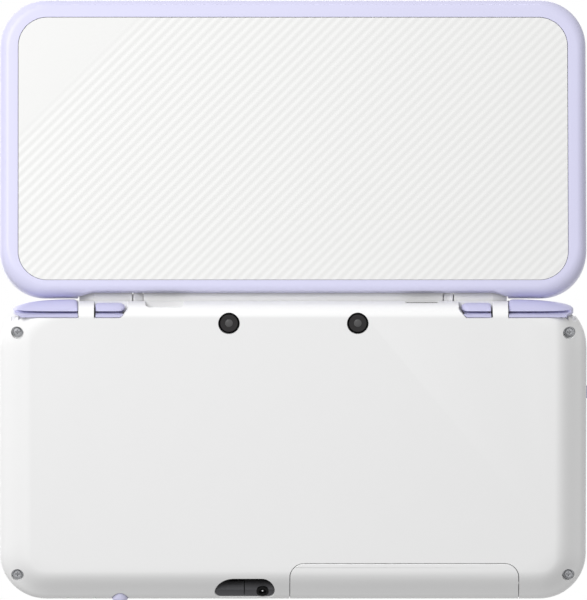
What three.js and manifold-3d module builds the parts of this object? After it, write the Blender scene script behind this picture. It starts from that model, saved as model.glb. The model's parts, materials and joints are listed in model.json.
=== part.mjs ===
// Clamshell handheld game console, opened, standing on its flat underside.
// Millimetres, +Z up, X across, the player at -Y, the hinge at +Y.
// It is laid out closed, with y = 0 at the base's rear edge and z = 0 under the base,
// then the lid turns open and the whole is centred on its footprint.
import * as THREE from 'three';
import { mergeVertices } from 'three/addons/utils/BufferGeometryUtils.js';
import Module from 'manifold-3d';

const wasm = await Module();
wasm.setup();

// Driving dimensions

const case_size = {
  width: 160,
  base_depth: 82.2,
  base_height: 12.5,
  lid_rear: 0.2,
  lid_thickness: 7.9,
  closed_gap: 0.4,
  corner_radius: 13.4,
  wall: 1.5,
};
const gap = { seat: 0.3, stack: 0.2, moving: 0.45, overrun: 6 };
const steps = { corner: 8, roll: 5, round: 28, small: 16 };
const parting_height = 5.2;
const base_roll = { side: 8.2, front: 9.7, rear: 3.2, top: 2.2, top_rear: 3.5, corner_share: 0.45 };
const lid_roll = { back: 2.6, back_height: 3.2, inner: 1.2, inner_rear: 2.5 };

const hinge = {
  y: -0.2,
  above_base: 0.2,
  bar_radius: 4.2,
  bar_side: 39.15,
  collar_radius: 3.9,
  collar_width: 2.1,
  shaft_radius: 1.2,
  shaft_length: 13,
  clutch_radius: 2.3,
  clutch_length: 15,
  running: 0.35,
  channel: 0.5,
  open_angle: 158,
};
const notch = { depth: 1.1, outer_side: 21.4, slant: 4 };
const lid_plate = { side: 4.75, front: 5.05, rear: 3.8, radius: 8.2, thickness: 1, below: 0.1 };
const lid_window = { side: 3, rear: 7, radius: 9, sunk: 0.9, thickness: 1 };
const upper_display = { side: 23, border: 3.1 };
const lid_web = { thickness: 1.2, border: 2 };
const bumper = { radius: 1.3, height: 0.25, side: 22, front: 1.6 };

const deck = {
  side: 3.2, rear: 7, radius: 10.5, sunk: 1.2, thickness: 1.3, ledge: 1.6, ledge_height: 1.2,
};
const touch = { side: 36, rear: 8.2, front: 9, thickness: 1.1, radius: 1.5, below: 0.1 };
const lower_display = { wider: 1, shorter: 1, thickness: 2.1 };
const board = { rear: 13, front: 11.2, left_side: 9, right_side: 38.5, under_deck: 3, thickness: 1 };
const button_board = { inner_side: 28.6, outer_side: 9, rear: 13, front: 15.2 };
const battery = { left_side: 68.5, right_side: 45.5, rear: 19, front: 17.2, radius: 1.5 };
const boss = { radius: 2.4 };
const posts = {
  radius: 1.6, side: 14, button_side: 26, middle_side: 41.8, rear: 16, left_rear: 22.4, front: 18.2,
};

const circle_pad = {
  side: 17.5, row_share: 0.292, radius: 7.6, stem: 2, hole: 6.1, top: 1.9, lift: 0.4, rim: 0.7,
  skirt_radius: 9.4, skirt: 0.6, dish: 0.5, travel: 2.6,
};
const pad_carriage = { half: 6.4, thickness: 0.8, slot: 0.4 };
const cross_pad = { side: 17.5, row_share: 0.645, half: 10, arm: 3.4, top: 1.6, flange: 0.9 };
const pivot_pad = { radius: 3.6, thickness: 0.6, stud: 1.5 };
const face_button = { side: 18.8, row_share: 0.341, pitch: 9, radius: 3.7, top: 1.5, flange: 0.9 };
const nub = { side: 27.8, rear: 12.2, radius: 2.4, top: 1.3, base_radius: 3.4 };
const round_button = { radius: 2.4, top: 0.8, flange: 0.8 };
const round_button_places = {
  menu_side: 23, first_row_share: 0.596, pitch: 9.5, power_side: 11.4, power_row_share: 0.652,
};
const home_button = { front: 5.9, width: 12, depth: 2.8, top: 0.5 };
const button_mat = { thickness: 0.5, past: 3.5, half: 8.8, left_half: 9 };

const shoulder = {
  tip_side: 3.6, curve: 6.9, front: -3.05, proud: 0.5,
  arm_in: 1.25, arm_front: -7.6, arm_low: 3.4, arm_high: 8.6, tip_back: 3.6,
  tip_share: 0.5, front_share: 0.45, curve_share: 0.8,
};
const trigger = {
  apart: 4.85, width: 8.4, front: -3.05, arm_front: -6.4, arm_low: 3.2, arm_high: 6.6, bevel: 2.1,
  slant_shares: [0.33, 0.55],
};
// Heights above the underside against how far the rear face lies inside its furthest point.
const shoulder_profile = {
  heights: [0.4, 2.1, 2.2, 2.5, 2.6, 3.6, 5, 6.5, 7.6, 9, 10.2, 10.9],
  insets: [3.2, 2.65, 3.2, 3.2, 2.4, 1.3, 0.55, 0.15, 0, 0.25, 0.75, 1.5],
};
const trigger_profile = {
  heights: [0.4, 2.1, 2.2, 2.5, 2.6, 3.4, 4.4, 5.6, 6.8, 7.4],
  insets: [3.2, 2.65, 3.2, 3.2, 2.3, 1.2, 0.5, 0.3, 0.5, 1],
};
const shoulder_cut = {
  front: -3.38, top: 11.5, well: 1.8, trigger_top: 7.7, press_room: 1.45, press_low: 1.6,
  dip: 0.6, tip_wall: 1.4,
};

const camera = { side: 62.45, y: -4.7, radius: 2.8, depth: 3.6, sunk: 0.2 };
const screw = {
  side: 4.75, end: 7.3, rear_low: 2.5, front_low: 3, head: 1.55, head_depth: 1,
  shank: 0.7, length: 4.6,
};
const stylus = {
  side: 32.8, z: 4.5, radius: 2.1, head_radius: 2.25, head: 5, rear: 10.55, proud: 0.35, tip: 3,
  nose_share: 0.7,
};
const sleeve = { bore: 2.5, outer: 2.9, front: 6.5, past: 1.6 };
const card_cover = { side: 18.45, x_to: 0.75, depth: 10.65, radius: 3.8, top: 7.2 };
const card_slot = {
  side: 48.5, width: 36, front: 8.6, depth: 33, low: 1.8, height: 5.4, wall: 0.6, floor: 0.5,
};
const memory_socket = { side: 23.6, width: 13, depth: 14, thickness: 2 };
const audio = {
  from: 5, to: 21.5, depth: 6.3, rear_from: 8.6, rear_to: 18.2, straight: 2.6, top: 3.8, sunk: 0.5,
  deep: 6.5, jack_x: 8.4, jack_front: 3.6, jack_z: 3, jack_radius: 1.75,
  jack_tilt: 52, jack_depth: 5,
};
const inlet = { apart: 5.2, width: 10.4, low: 2.1, high: 7.6, wall: 0.7, pocket: 4.6 };
const infrared = { apart: 6.2, width: 8.4, low: 5.5, high: 7.3, depth: 1.2 };
const volume = { rear: -23.4, length: 3.4, low: 6.3, height: 2.2, proud: 0.4, travel: 9 };
const indicator = { from_sides: [25.8, 18.7], z: 4.2, radius: 0.8, length: 3.4 };
const speaker = {
  side: 15.5, front: 10.4, width: 13, depth: 6.4, thickness: 2.6, slot: 0.9, slot_length: 3.7,
  slot_pitch: 2,
};
const speaker_slots = 5;
const inner_camera = { radius: 1.5, depth: 2.2, tilt: 40, proud: 0.1 };

// Heights and edges worked out from the driving dimensions

const half_width = case_size.width / 2;
const base_front = -case_size.base_depth;
const lid_low = case_size.base_height + case_size.closed_gap;
const lid_high = lid_low + case_size.lid_thickness;
const deck_top = case_size.base_height - deck.sunk;
const deck_low = deck_top - deck.thickness;
const board_top = deck_low - board.under_deck;
const board_low = board_top - board.thickness;
const battery_low = case_size.wall + gap.stack;
const battery_top = board_low - gap.stack;
const hinge_height = case_size.base_height + hinge.above_base;
const mat_top = board_top + gap.stack + button_mat.thickness;
const bar_half = half_width - hinge.bar_side;
const notch_outer = half_width - notch.outer_side;
const shoulder_inner = notch_outer + gap.seat / 2;
const shoulder_tip = half_width - shoulder.tip_side;
const shoulder_flat_end = shoulder_tip - shoulder.curve;
const trigger_outer = shoulder_inner - trigger.apart;
const trigger_inner = trigger_outer - trigger.width;
const touch_half = half_width - touch.side;
const touch_front = base_front + touch.front;
const circle_pad_x = circle_pad.side - half_width;
const circle_pad_y = base_front * circle_pad.row_share;
const cross_pad_x = cross_pad.side - half_width;
const cross_pad_y = base_front * cross_pad.row_share;
const face_button_x = half_width - face_button.side;
const face_button_y = base_front * face_button.row_share;
const nub_x = half_width - nub.side;
const nub_y = -nub.rear;
const home_button_y = base_front + home_button.front;
const speaker_x = half_width - speaker.side;
const speaker_y = base_front + speaker.front;
const camera_x = half_width - camera.side;
const stylus_x = half_width - stylus.side;
const inlet_x = trigger_inner - inlet.apart - inlet.width / 2;
const infrared_x = infrared.apart + infrared.width / 2 - trigger_inner;
const card_cover_rear = base_front + card_cover.depth;
const card_slot_x = card_slot.side - half_width;
const card_slot_from = base_front + card_slot.front;
const audio_rear = base_front + audio.depth;

// Finishes

const finishes = {
  white_plastic: [0xf0f0f0, 0.45, 0],
  lavender_plastic: [0xcfcdee, 0.4, 0],
  grey_plastic: [0xb9b9b6, 0.5, 0],
  black_plastic: [0x1c1c1e, 0.5, 0],
  black_rubber: [0x2a2a2c, 0.85, 0],
  dark_glass: [0x0b0b0d, 0.08, 0],
  smoked_window: [0x232022, 0.15, 0],
  circuit_board: [0x1f5a3c, 0.6, 0],
  battery_wrap: [0x3a3d42, 0.6, 0],
  steel: [0xb4b6b8, 0.35, 1],
  display: [0x15171a, 0.3, 0],
  indicator: [0xdde8dd, 0.3, 0],
};

// Solids: closed meshes made by three.js shapes, joined and cut as solids

function solid(geometry) {
  geometry.deleteAttribute('normal');
  geometry.deleteAttribute('uv');
  const merged = mergeVertices(geometry);
  const position = merged.attributes.position.array;
  const faces = [];
  let volume_sum = 0;
  const corner = (i) => new THREE.Vector3().fromArray(position, i * 3);
  for (let i = 0; i < merged.index.count; i += 3) {
    const [a, b, c] = [0, 1, 2].map((k) => merged.index.getX(i + k));
    if (a === b || b === c || c === a) continue;
    faces.push([a, b, c]);
    volume_sum += corner(a).dot(corner(b).cross(corner(c)));
  }
  const turned = volume_sum < 0 ? faces.map(([a, b, c]) => [a, c, b]) : faces;
  return new wasm.Manifold(new wasm.Mesh({
    numProp: 3,
    vertProperties: new Float32Array(position),
    triVerts: new Uint32Array(turned.flat()),
  }));
}

function block(x0, x1, y0, y1, z0, z1) {
  const box = new THREE.BoxGeometry(x1 - x0, y1 - y0, z1 - z0);
  return solid(box.translate((x0 + x1) / 2, (y0 + y1) / 2, (z0 + z1) / 2));
}

function outline_shape(points) {
  return new THREE.Shape(points.map(([x, y]) => new THREE.Vector2(x, y)));
}

function prism(points, z0, z1) {
  const geometry = new THREE.ExtrudeGeometry(outline_shape(points), { depth: z1 - z0, bevelEnabled: false });
  return solid(geometry.translate(0, 0, z0));
}

// A prism whose outline lies in the x-z plane, running from y0 to y1.
function front_prism(points, y0, y1) {
  const geometry = new THREE.ExtrudeGeometry(outline_shape(points), { depth: y1 - y0, bevelEnabled: false });
  return solid(geometry.rotateX(Math.PI / 2).translate(0, y1, 0));
}

function rod_x(y, z, radius, x0, x1, sides = steps.round) {
  const geometry = new THREE.CylinderGeometry(radius, radius, x1 - x0, sides);
  return solid(geometry.rotateZ(Math.PI / 2).translate((x0 + x1) / 2, y, z));
}

function rod_y(x, z, radius, y0, y1, sides = steps.small) {
  const geometry = new THREE.CylinderGeometry(radius, radius, y1 - y0, sides);
  return solid(geometry.translate(x, (y0 + y1) / 2, z));
}

function rod_z(x, y, radius, z0, z1, sides = steps.small) {
  const geometry = new THREE.CylinderGeometry(radius, radius, z1 - z0, sides);
  return solid(geometry.rotateX(Math.PI / 2).translate(x, y, (z0 + z1) / 2));
}

// A turned piece on a vertical axis: [radius, height] pairs from one end of the axis to the other.
function turned_z(x, y, profile, sides = steps.small) {
  const points = profile.map(([radius, height]) => new THREE.Vector2(radius, height));
  return solid(new THREE.LatheGeometry(points, sides).rotateX(Math.PI / 2).translate(x, y, 0));
}

function turned_y(x, z, profile, sides = steps.small) {
  const points = profile.map(([radius, reach]) => new THREE.Vector2(radius, reach));
  return solid(new THREE.LatheGeometry(points, sides).translate(x, 0, z));
}

// Corners of a rounded rectangle, the same count for every radius above zero.
function rounded(x0, x1, y0, y1, radius, count = steps.corner) {
  const r = Math.min(radius, (x1 - x0) / 2, (y1 - y0) / 2);
  const centres = [[x1 - r, y0 + r, -90], [x1 - r, y1 - r, 0], [x0 + r, y1 - r, 90], [x0 + r, y0 + r, 180]];
  return centres.flatMap(([cx, cy, start]) => Array.from({ length: count + 1 }, (_, i) => {
    const angle = THREE.MathUtils.degToRad(start + (90 * i) / count);
    return [cx + r * Math.cos(angle), cy + r * Math.sin(angle)];
  }));
}

// A solid through level outlines that all have the same number of points, lowest first.
function stack(rings) {
  const flip = THREE.ShapeUtils.area(outline_shape(rings[0].outline).getPoints()) < 0;
  const outlines = rings.map(({ outline }) => (flip ? [...outline].reverse() : outline));
  const count = outlines[0].length;
  const positions = outlines.flatMap((outline, i) => outline.flatMap(([x, y]) => [x, y, rings[i].z]));
  const index = [];
  for (let ring = 0; ring + 1 < outlines.length; ring += 1) {
    for (let i = 0; i < count; i += 1) {
      const a = ring * count + i;
      const b = ring * count + ((i + 1) % count);
      index.push(a, b, b + count, a, b + count, a + count);
    }
  }
  const cap = (outline, first, upward) => {
    const flat = outline.map(([x, y]) => new THREE.Vector2(x, y));
    THREE.ShapeUtils.triangulateShape(flat, []).forEach((face) => {
      const is_upward = THREE.ShapeUtils.area(face.map((k) => flat[k])) > 0;
      const [a, b, c] = face.map((k) => k + first);
      index.push(...(is_upward === upward ? [a, b, c] : [a, c, b]));
    });
  };
  cap(outlines[0], 0, false);
  cap(outlines.at(-1), (outlines.length - 1) * count, true);
  const geometry = new THREE.BufferGeometry();
  geometry.setAttribute('position', new THREE.Float32BufferAttribute(positions, 3));
  geometry.setIndex(index);
  return solid(geometry);
}

function union(first, ...others) {
  return others.reduce((whole, other) => whole.add(other), first);
}

function cut(first, ...others) {
  return others.reduce((whole, other) => whole.subtract(other), first);
}

// Nodes

const console_group = new THREE.Group();
const base_group = new THREE.Group();
const lid_pivot = new THREE.Group();
const lid_group = new THREE.Group();
console_group.add(base_group, lid_pivot);
lid_pivot.add(lid_group);

function piece(name, shape, finish, group = base_group) {
  const { vertProperties, triVerts } = shape.getMesh();
  const geometry = new THREE.BufferGeometry();
  geometry.setAttribute('position', new THREE.Float32BufferAttribute(vertProperties, 3));
  geometry.setIndex(Array.from(triVerts));
  geometry.computeVertexNormals();
  const [color, roughness, metalness] = finishes[finish];
  const mesh = new THREE.Mesh(geometry, new THREE.MeshStandardMaterial({ color, roughness, metalness }));
  mesh.name = name;
  group.add(mesh);
}

// Left and right are the player's; the player's right is +X.
const sides = [{ word: 'right', sign: 1 }, { word: 'left', sign: -1 }];
const mirrored = (points, sign) => points.map(([x, y]) => [x * sign, y]);
const screw_places = sides.flatMap(({ word, sign }) => {
  const x = sign * (half_width - screw.side);
  return [
    { name: `cover_screw_rear_${word}`, x, y: -screw.end, low: screw.rear_low },
    { name: `cover_screw_front_${word}`, x, y: base_front + screw.end, low: screw.front_low },
  ];
});
const indicator_places = indicator.from_sides.map((distance) => half_width - distance);
const span = (sign, from, to) => [Math.min(sign * from, sign * to), Math.max(sign * from, sign * to)];

// The base's skin, moved inwards by an inset: a wide soft roll below the parting line,
// a small one along the top edge.
function base_skin(inset) {
  const ring = (side, front, rear, z) => ({
    outline: rounded(
      -half_width + side,
      half_width - side,
      base_front + front,
      -rear,
      case_size.corner_radius - side * base_roll.corner_share,
    ),
    z,
  });
  const rings = [];
  for (let i = 0; i <= steps.roll; i += 1) {
    const angle = (Math.PI / 2) * (i / steps.roll);
    const share = 1 - Math.sin(angle);
    rings.push(ring(
      inset + base_roll.side * share,
      inset + base_roll.front * share,
      inset + base_roll.rear * share,
      inset + (parting_height - inset) * (1 - Math.cos(angle)),
    ));
  }
  for (let i = 0; i <= steps.roll; i += 1) {
    const angle = (Math.PI / 2) * (i / steps.roll);
    const share = 1 - Math.cos(angle);
    rings.push(ring(
      inset + base_roll.top * share,
      inset + base_roll.top * share,
      inset + base_roll.top_rear * share,
      case_size.base_height - inset - base_roll.top * (1 - Math.sin(angle)),
    ));
  }
  return stack(rings);
}

const hinge_cylinder = (radius, from, to) => rod_x(hinge.y, hinge_height, radius, from, to);
const outer_skin = base_skin(0);
const inner_skin = base_skin(case_size.wall);
const base_shell = cut(outer_skin, inner_skin);
const big = case_size.width;
const below_parting = block(-big, big, -big, big, -gap.overrun, parting_height);

// Cuts for the rear buttons, in both cases
function rear_button_cuts(sign) {
  const shoulder_x = span(sign, shoulder_inner - gap.moving / 2, big);
  const trigger_outline = mirrored([
    [trigger_inner - gap.moving, gap.overrun],
    [trigger_inner - gap.moving, trigger.front + trigger.bevel],
    [trigger_inner - gap.moving + trigger.bevel, shoulder_cut.front],
    [trigger_outer + gap.moving, shoulder_cut.front],
    [trigger_outer + gap.moving, gap.overrun],
  ], sign);
  const [arm_from, arm_to] = span(
    sign,
    shoulder_inner + shoulder.arm_in - gap.moving,
    shoulder_flat_end + gap.moving,
  );
  const trigger_x = span(sign, trigger_inner + trigger.bevel - gap.moving, trigger_outer + gap.moving);
  return [
    block(...shoulder_x, shoulder_cut.front, gap.overrun, -gap.overrun, shoulder_cut.top),
    block(
      ...span(sign, shoulder_inner - gap.moving / 2, shoulder_tip - shoulder_cut.tip_wall),
      shoulder_cut.front - shoulder_cut.press_room,
      gap.overrun,
      shoulder_cut.press_low,
      shoulder_cut.top,
    ),
    block(
      ...trigger_x,
      shoulder_cut.front - shoulder_cut.press_room,
      gap.overrun,
      shoulder_cut.press_low,
      shoulder_cut.trigger_top,
    ),
    block(
      arm_from,
      arm_to,
      shoulder.arm_front - shoulder_cut.well,
      gap.overrun,
      shoulder.arm_low - gap.moving - shoulder_cut.dip,
      shoulder.arm_high + gap.moving,
    ),
    prism(trigger_outline, -gap.overrun, shoulder_cut.trigger_top),
    block(
      ...trigger_x,
      trigger.arm_front - shoulder_cut.well,
      gap.overrun,
      trigger.arm_low - gap.moving - shoulder_cut.dip,
      trigger.arm_high + gap.moving,
    ),
  ];
}

// The card cover's outline, and the same grown by a gap for the hole that it fills
function card_window(grow) {
  const [x0, x1] = [card_cover.side - half_width - grow, card_cover.x_to + grow];
  const plan = prism(
    rounded(x0, x1, base_front - gap.overrun * 2, card_cover_rear + grow, card_cover.radius),
    -gap.overrun,
    case_size.base_height,
  );
  const face = front_prism(
    rounded(x0, x1, -gap.overrun * 2, card_cover.top + grow, card_cover.radius / 2),
    base_front - gap.overrun,
    card_cover_rear + gap.overrun,
  );
  return plan.intersect(face);
}

// The audio block's window: flat along the back, round at both ends
function audio_window(grow) {
  const rear = audio_rear + grow;
  const low_y = base_front + audio.straight;
  const arc = (centre_x, edge_x, from, to) => Array.from({ length: steps.corner + 1 }, (_, i) => {
    const angle = THREE.MathUtils.degToRad(from + ((to - from) * i) / steps.corner);
    return [
      centre_x + Math.abs(edge_x - centre_x) * Math.cos(angle),
      low_y + (rear - low_y) * Math.sin(angle),
    ];
  });
  const points = [
    ...arc(audio.rear_to, audio.to + grow, 0, 90),
    ...arc(audio.rear_from, audio.from - grow, 90, 180),
    [audio.from - grow, base_front - gap.overrun],
    [audio.to + grow, base_front - gap.overrun],
  ];
  return prism(points.reverse(), -gap.overrun, audio.top + grow);
}

const inlet_from = inlet_x - inlet.width / 2;
const inlet_to = inlet_x + inlet.width / 2;
const inlet_pocket = block(
  inlet_from,
  inlet_to,
  -inlet.pocket,
  gap.overrun,
  inlet.low,
  inlet.high,
);
const infrared_from = infrared_x - infrared.width / 2;
const infrared_to = infrared_x + infrared.width / 2;
const shared_cuts = [
  ...sides.flatMap(({ sign }) => rear_button_cuts(sign)),
  card_window(gap.seat),
  inlet_pocket,
  block(
    infrared_from - gap.seat,
    infrared_to + gap.seat,
    -case_size.wall - gap.overrun / 2,
    gap.overrun,
    infrared.low - gap.seat,
    infrared.high + gap.seat,
  ),
  rod_y(stylus_x, stylus.z, sleeve.bore, base_front - gap.overrun, base_front + sleeve.front),
  rod_y(
    stylus_x,
    stylus.z,
    sleeve.outer + gap.stack,
    base_front + sleeve.front - gap.seat,
    base_front + base_roll.front + gap.overrun,
  ),
];

// Base bottom case: the white cover, with screw bosses and board posts inside
function make_bottom_case() {
  const post_front = base_front + posts.front;
  const post_x = half_width - posts.side;
  const button_x = half_width - posts.button_side;
  const middle_x = half_width - posts.middle_side;
  const post_places = [
    [-post_x, post_front], [-post_x, -posts.left_rear], [middle_x, post_front], [middle_x, -posts.rear],
    [button_x, post_front], [post_x, post_front], [button_x, -posts.rear], [post_x, -posts.rear],
  ];
  const bosses = screw_places.map(({ x, y }) => (
    rod_z(x, y, boss.radius, 0, parting_height - gap.stack)
  ));
  const pillars = post_places.map(([x, y]) => (
    rod_z(x, y, posts.radius, case_size.wall / 2, board_low - gap.stack, steps.small / 2)
  ));
  const whole = union(
    base_shell.intersect(below_parting),
    ...bosses.map((shape) => shape.intersect(outer_skin)),
    ...pillars,
  );
  const screw_holes = screw_places.flatMap(({ x, y, low }) => [
    rod_z(x, y, screw.head + gap.seat / 2, -gap.overrun, low + screw.head_depth + gap.stack),
    rod_z(x, y, screw.shank + gap.seat, -gap.overrun, parting_height + gap.overrun),
  ]);
  const camera_holes = sides.map(({ sign }) => (
    rod_z(sign * camera_x, camera.y, camera.radius + gap.seat / 2, -gap.overrun, parting_height, steps.round)
  ));
  const indicator_holes = indicator_places.map((x) => (
    rod_y(
      x,
      indicator.z,
      indicator.radius + gap.seat / 2,
      base_front - gap.overrun,
      base_front + indicator.length,
    )
  ));
  piece('base_bottom_case', cut(
    whole,
    ...shared_cuts,
    ...screw_holes,
    ...camera_holes,
    ...indicator_holes,
    audio_window(gap.seat / 2),
  ), 'white_plastic');
}

// Base top case: the white rim, with the hinge channel, the ledge under the deck and the slider's slot
const deck_area = (grow, z0, z1) => prism(rounded(
  -half_width + deck.side - grow,
  half_width - deck.side + grow,
  base_front + deck.side - grow,
  -deck.rear + grow,
  deck.radius,
), z0, z1);

function make_top_case() {
  const rim = cut(outer_skin, below_parting);
  const ledge_low = deck_low - gap.stack - deck.ledge_height;
  const cavity = inner_skin.intersect(block(-big, big, -big, -deck.rear + deck.ledge, 0, ledge_low));
  const rear_wall = hinge.y - hinge.bar_radius - hinge.channel - case_size.wall;
  const rear_room_top = hinge_height - hinge.bar_radius - hinge.channel - case_size.wall / 2;
  const rear_room = inner_skin.intersect(block(-big, big, rear_wall, gap.overrun, 0, rear_room_top));
  const channel = hinge_cylinder(hinge.bar_radius + hinge.channel, -notch_outer, notch_outer);
  const top_screws = screw_places.map(({ x, y }) => (
    rod_z(x, y, boss.radius, parting_height, deck_low - gap.stack)
  ));
  const pilots = screw_places.map(({ x, y, low }) => (
    rod_z(x, y, screw.shank + gap.seat, 0, low + screw.head_depth + screw.length)
  ));
  const slider_slot = block(
    -big,
    -half_width + case_size.wall + gap.overrun / 2,
    volume.rear - volume.travel - volume.length - gap.seat,
    volume.rear + gap.seat,
    volume.low,
    volume.low + volume.height,
  );
  const hollow = cut(
    rim,
    cavity,
    rear_room,
    deck_area(-deck.ledge, ledge_low - gap.overrun / 2, case_size.base_height),
    deck_area(0, deck_low - gap.stack, case_size.base_height + gap.overrun),
  );
  const bosses = top_screws.map((shape) => shape.intersect(outer_skin));
  piece('base_top_case', cut(
    union(hollow, ...bosses),
    channel,
    slider_slot,
    prism(home_outline(gap.moving * 2 + gap.seat), 0, deck_low - gap.stack),
    ...pilots,
    ...shared_cuts,
  ), 'white_plastic');
}

// Control deck: the inset face plate with a hole for each control
const cross_outline = (grow) => {
  const [long, short] = [cross_pad.half + grow, cross_pad.arm + grow];
  return [
    [long, -short], [long, short], [short, short], [short, long], [-short, long], [-short, short],
    [-long, short], [-long, -short], [-short, -short], [-short, -long], [short, -long], [short, -short],
  ].map(([x, y]) => [x + cross_pad_x, y + cross_pad_y]);
};
const face_button_places = {
  button_east: [face_button_x + face_button.pitch, face_button_y],
  button_south: [face_button_x, face_button_y - face_button.pitch],
  button_north: [face_button_x, face_button_y + face_button.pitch],
  button_west: [face_button_x - face_button.pitch, face_button_y],
};
const menu_x = half_width - round_button_places.menu_side;
const start_y = base_front * round_button_places.first_row_share;
const select_y = start_y - round_button_places.pitch;
const round_button_spots = {
  start_button: [menu_x, start_y],
  select_button: [menu_x, select_y],
  power_button: [
    half_width - round_button_places.power_side,
    base_front * round_button_places.power_row_share,
  ],
};

function make_deck() {
  const through = [deck_low - gap.overrun, deck_top + gap.overrun];
  const touch_hole = prism(rounded(
    -touch_half - gap.seat,
    touch_half + gap.seat,
    touch_front - gap.seat,
    -touch.rear + gap.seat,
    touch.radius,
    steps.roll,
  ), ...through);
  const holes = [
    touch_hole,
    rod_z(circle_pad_x, circle_pad_y, circle_pad.hole, ...through, steps.round),
    prism(cross_outline(gap.moving), ...through),
    ...Object.values(face_button_places).map(([x, y]) => (
      rod_z(x, y, face_button.radius + gap.seat, ...through)
    )),
    ...Object.values(round_button_spots).map(([x, y]) => (
      rod_z(x, y, round_button.radius + gap.seat, ...through)
    )),
    rod_z(nub_x, nub_y, nub.radius + gap.moving, ...through),
    prism(home_outline(gap.seat), ...through),
    ...sides.flatMap(({ sign }) => Array.from({ length: speaker_slots }, (_, i) => {
      const x = sign * speaker_x + (i - (speaker_slots - 1) / 2) * speaker.slot_pitch;
      return block(
        x - speaker.slot / 2,
        x + speaker.slot / 2,
        speaker_y - speaker.slot_length / 2,
        speaker_y + speaker.slot_length / 2,
        ...through,
      );
    })),
  ];
  piece('control_deck', cut(deck_area(-gap.seat, deck_low, deck_top), ...holes), 'white_plastic');
}

function home_outline(grow) {
  return rounded(
    -home_button.width / 2 - grow,
    home_button.width / 2 + grow,
    home_button_y - home_button.depth / 2 - grow,
    home_button_y + home_button.depth / 2 + grow,
    home_button.depth / 2 + grow,
    steps.roll,
  );
}

// Screens, boards and battery inside the base
function make_base_insides() {
  const touch_top = deck_top - touch.below;
  const touch_low = touch_top - touch.thickness;
  piece('touch_panel', prism(rounded(
    -touch_half,
    touch_half,
    touch_front,
    -touch.rear,
    touch.radius,
    steps.roll,
  ), touch_low, touch_top), 'dark_glass');

  const display_top = deck_low - gap.stack;
  piece('lower_display', block(
    -touch_half - lower_display.wider,
    touch_half + lower_display.wider,
    touch_front + lower_display.shorter,
    -touch.rear - lower_display.shorter,
    display_top - lower_display.thickness,
    display_top,
  ), 'display');

  const slot_left = card_slot_x - card_slot.width / 2 - gap.seat;
  const slot_right = card_slot_x + card_slot.width / 2 + gap.seat;
  const slot_rear = card_slot_from + card_slot.depth + gap.seat;
  piece('main_board', cut(
    block(
      board.left_side - half_width,
      half_width - board.right_side,
      base_front + board.front,
      -board.rear,
      board_low,
      board_top,
    ),
    block(slot_left, slot_right, -big, slot_rear, 0, big),
  ), 'circuit_board');
  piece('button_board', block(
    half_width - button_board.inner_side,
    half_width - button_board.outer_side,
    base_front + button_board.front,
    -button_board.rear,
    board_low,
    board_top,
  ), 'circuit_board');
  piece('battery_pack', prism(rounded(
    battery.left_side - half_width,
    half_width - battery.right_side,
    base_front + battery.front,
    -battery.rear,
    battery.radius,
    steps.roll,
  ), battery_low, battery_top), 'battery_wrap');

  sides.forEach(({ word, sign }) => {
    const centre = sign > 0 ? face_button_x : cross_pad_x;
    piece(`button_mat_${word}`, block(
      centre - button_mat.half,
      centre + button_mat.half,
      sign > 0 ? select_y - button_mat.past : cross_pad_y - button_mat.left_half,
      sign > 0 ? nub_y - nub.base_radius - gap.seat * 2 : cross_pad_y + button_mat.left_half,
      board_top + gap.stack,
      mat_top,
    ), 'black_rubber');
    piece(`speaker_${word}`, block(
      sign * speaker_x - speaker.width / 2,
      sign * speaker_x + speaker.width / 2,
      speaker_y - speaker.depth / 2,
      speaker_y + speaker.depth / 2,
      deck_low - gap.stack - speaker.thickness,
      deck_low - gap.stack,
    ), 'black_plastic');
  });
}

// Circle pad: a dished cap on a stem that slides across in its carriage, and the carriage slides in its seat
const pad_levels = {
  skirt_top: deck_low - gap.seat,
  carriage_top: deck_low - gap.seat - circle_pad.skirt - gap.stack,
};
pad_levels.carriage_low = pad_levels.carriage_top - pad_carriage.thickness;

function make_circle_pad() {
  const { radius, stem } = circle_pad;
  const [x, y] = [circle_pad_x, circle_pad_y];
  const cap_low = deck_top + circle_pad.lift;
  const cap_top = deck_top + circle_pad.top;
  piece('circle_pad', turned_z(x, y, [
    [0, pad_levels.carriage_low],
    [stem, pad_levels.carriage_low],
    [stem, pad_levels.skirt_top - circle_pad.skirt],
    [circle_pad.skirt_radius, pad_levels.skirt_top - circle_pad.skirt],
    [circle_pad.skirt_radius, pad_levels.skirt_top],
    [stem, pad_levels.skirt_top],
    [stem, cap_low],
    [radius - circle_pad.rim / 2, cap_low],
    [radius, cap_low + circle_pad.rim / 2],
    [radius, cap_top - circle_pad.rim / 2],
    [radius - circle_pad.rim, cap_top],
    [radius - circle_pad.rim * 2, cap_top - circle_pad.dish / 2],
    [0, cap_top - circle_pad.dish],
  ], steps.round), 'black_rubber');

  const slot_half = stem + pad_carriage.slot;
  const slot_reach = slot_half + circle_pad.travel;
  const { half } = pad_carriage;
  piece('circle_pad_carriage', cut(
    block(x - half, x + half, y - half, y + half, pad_levels.carriage_low, pad_levels.carriage_top),
    block(x - slot_half, x + slot_half, y - slot_reach, y + slot_reach, 0, big),
  ), 'black_plastic');
  piece('circle_pad_seat', block(
    x - half,
    x + half,
    y - half,
    y + half,
    board_top + gap.stack / 2,
    pad_levels.carriage_low - gap.stack,
  ), 'black_plastic');
}

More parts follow.
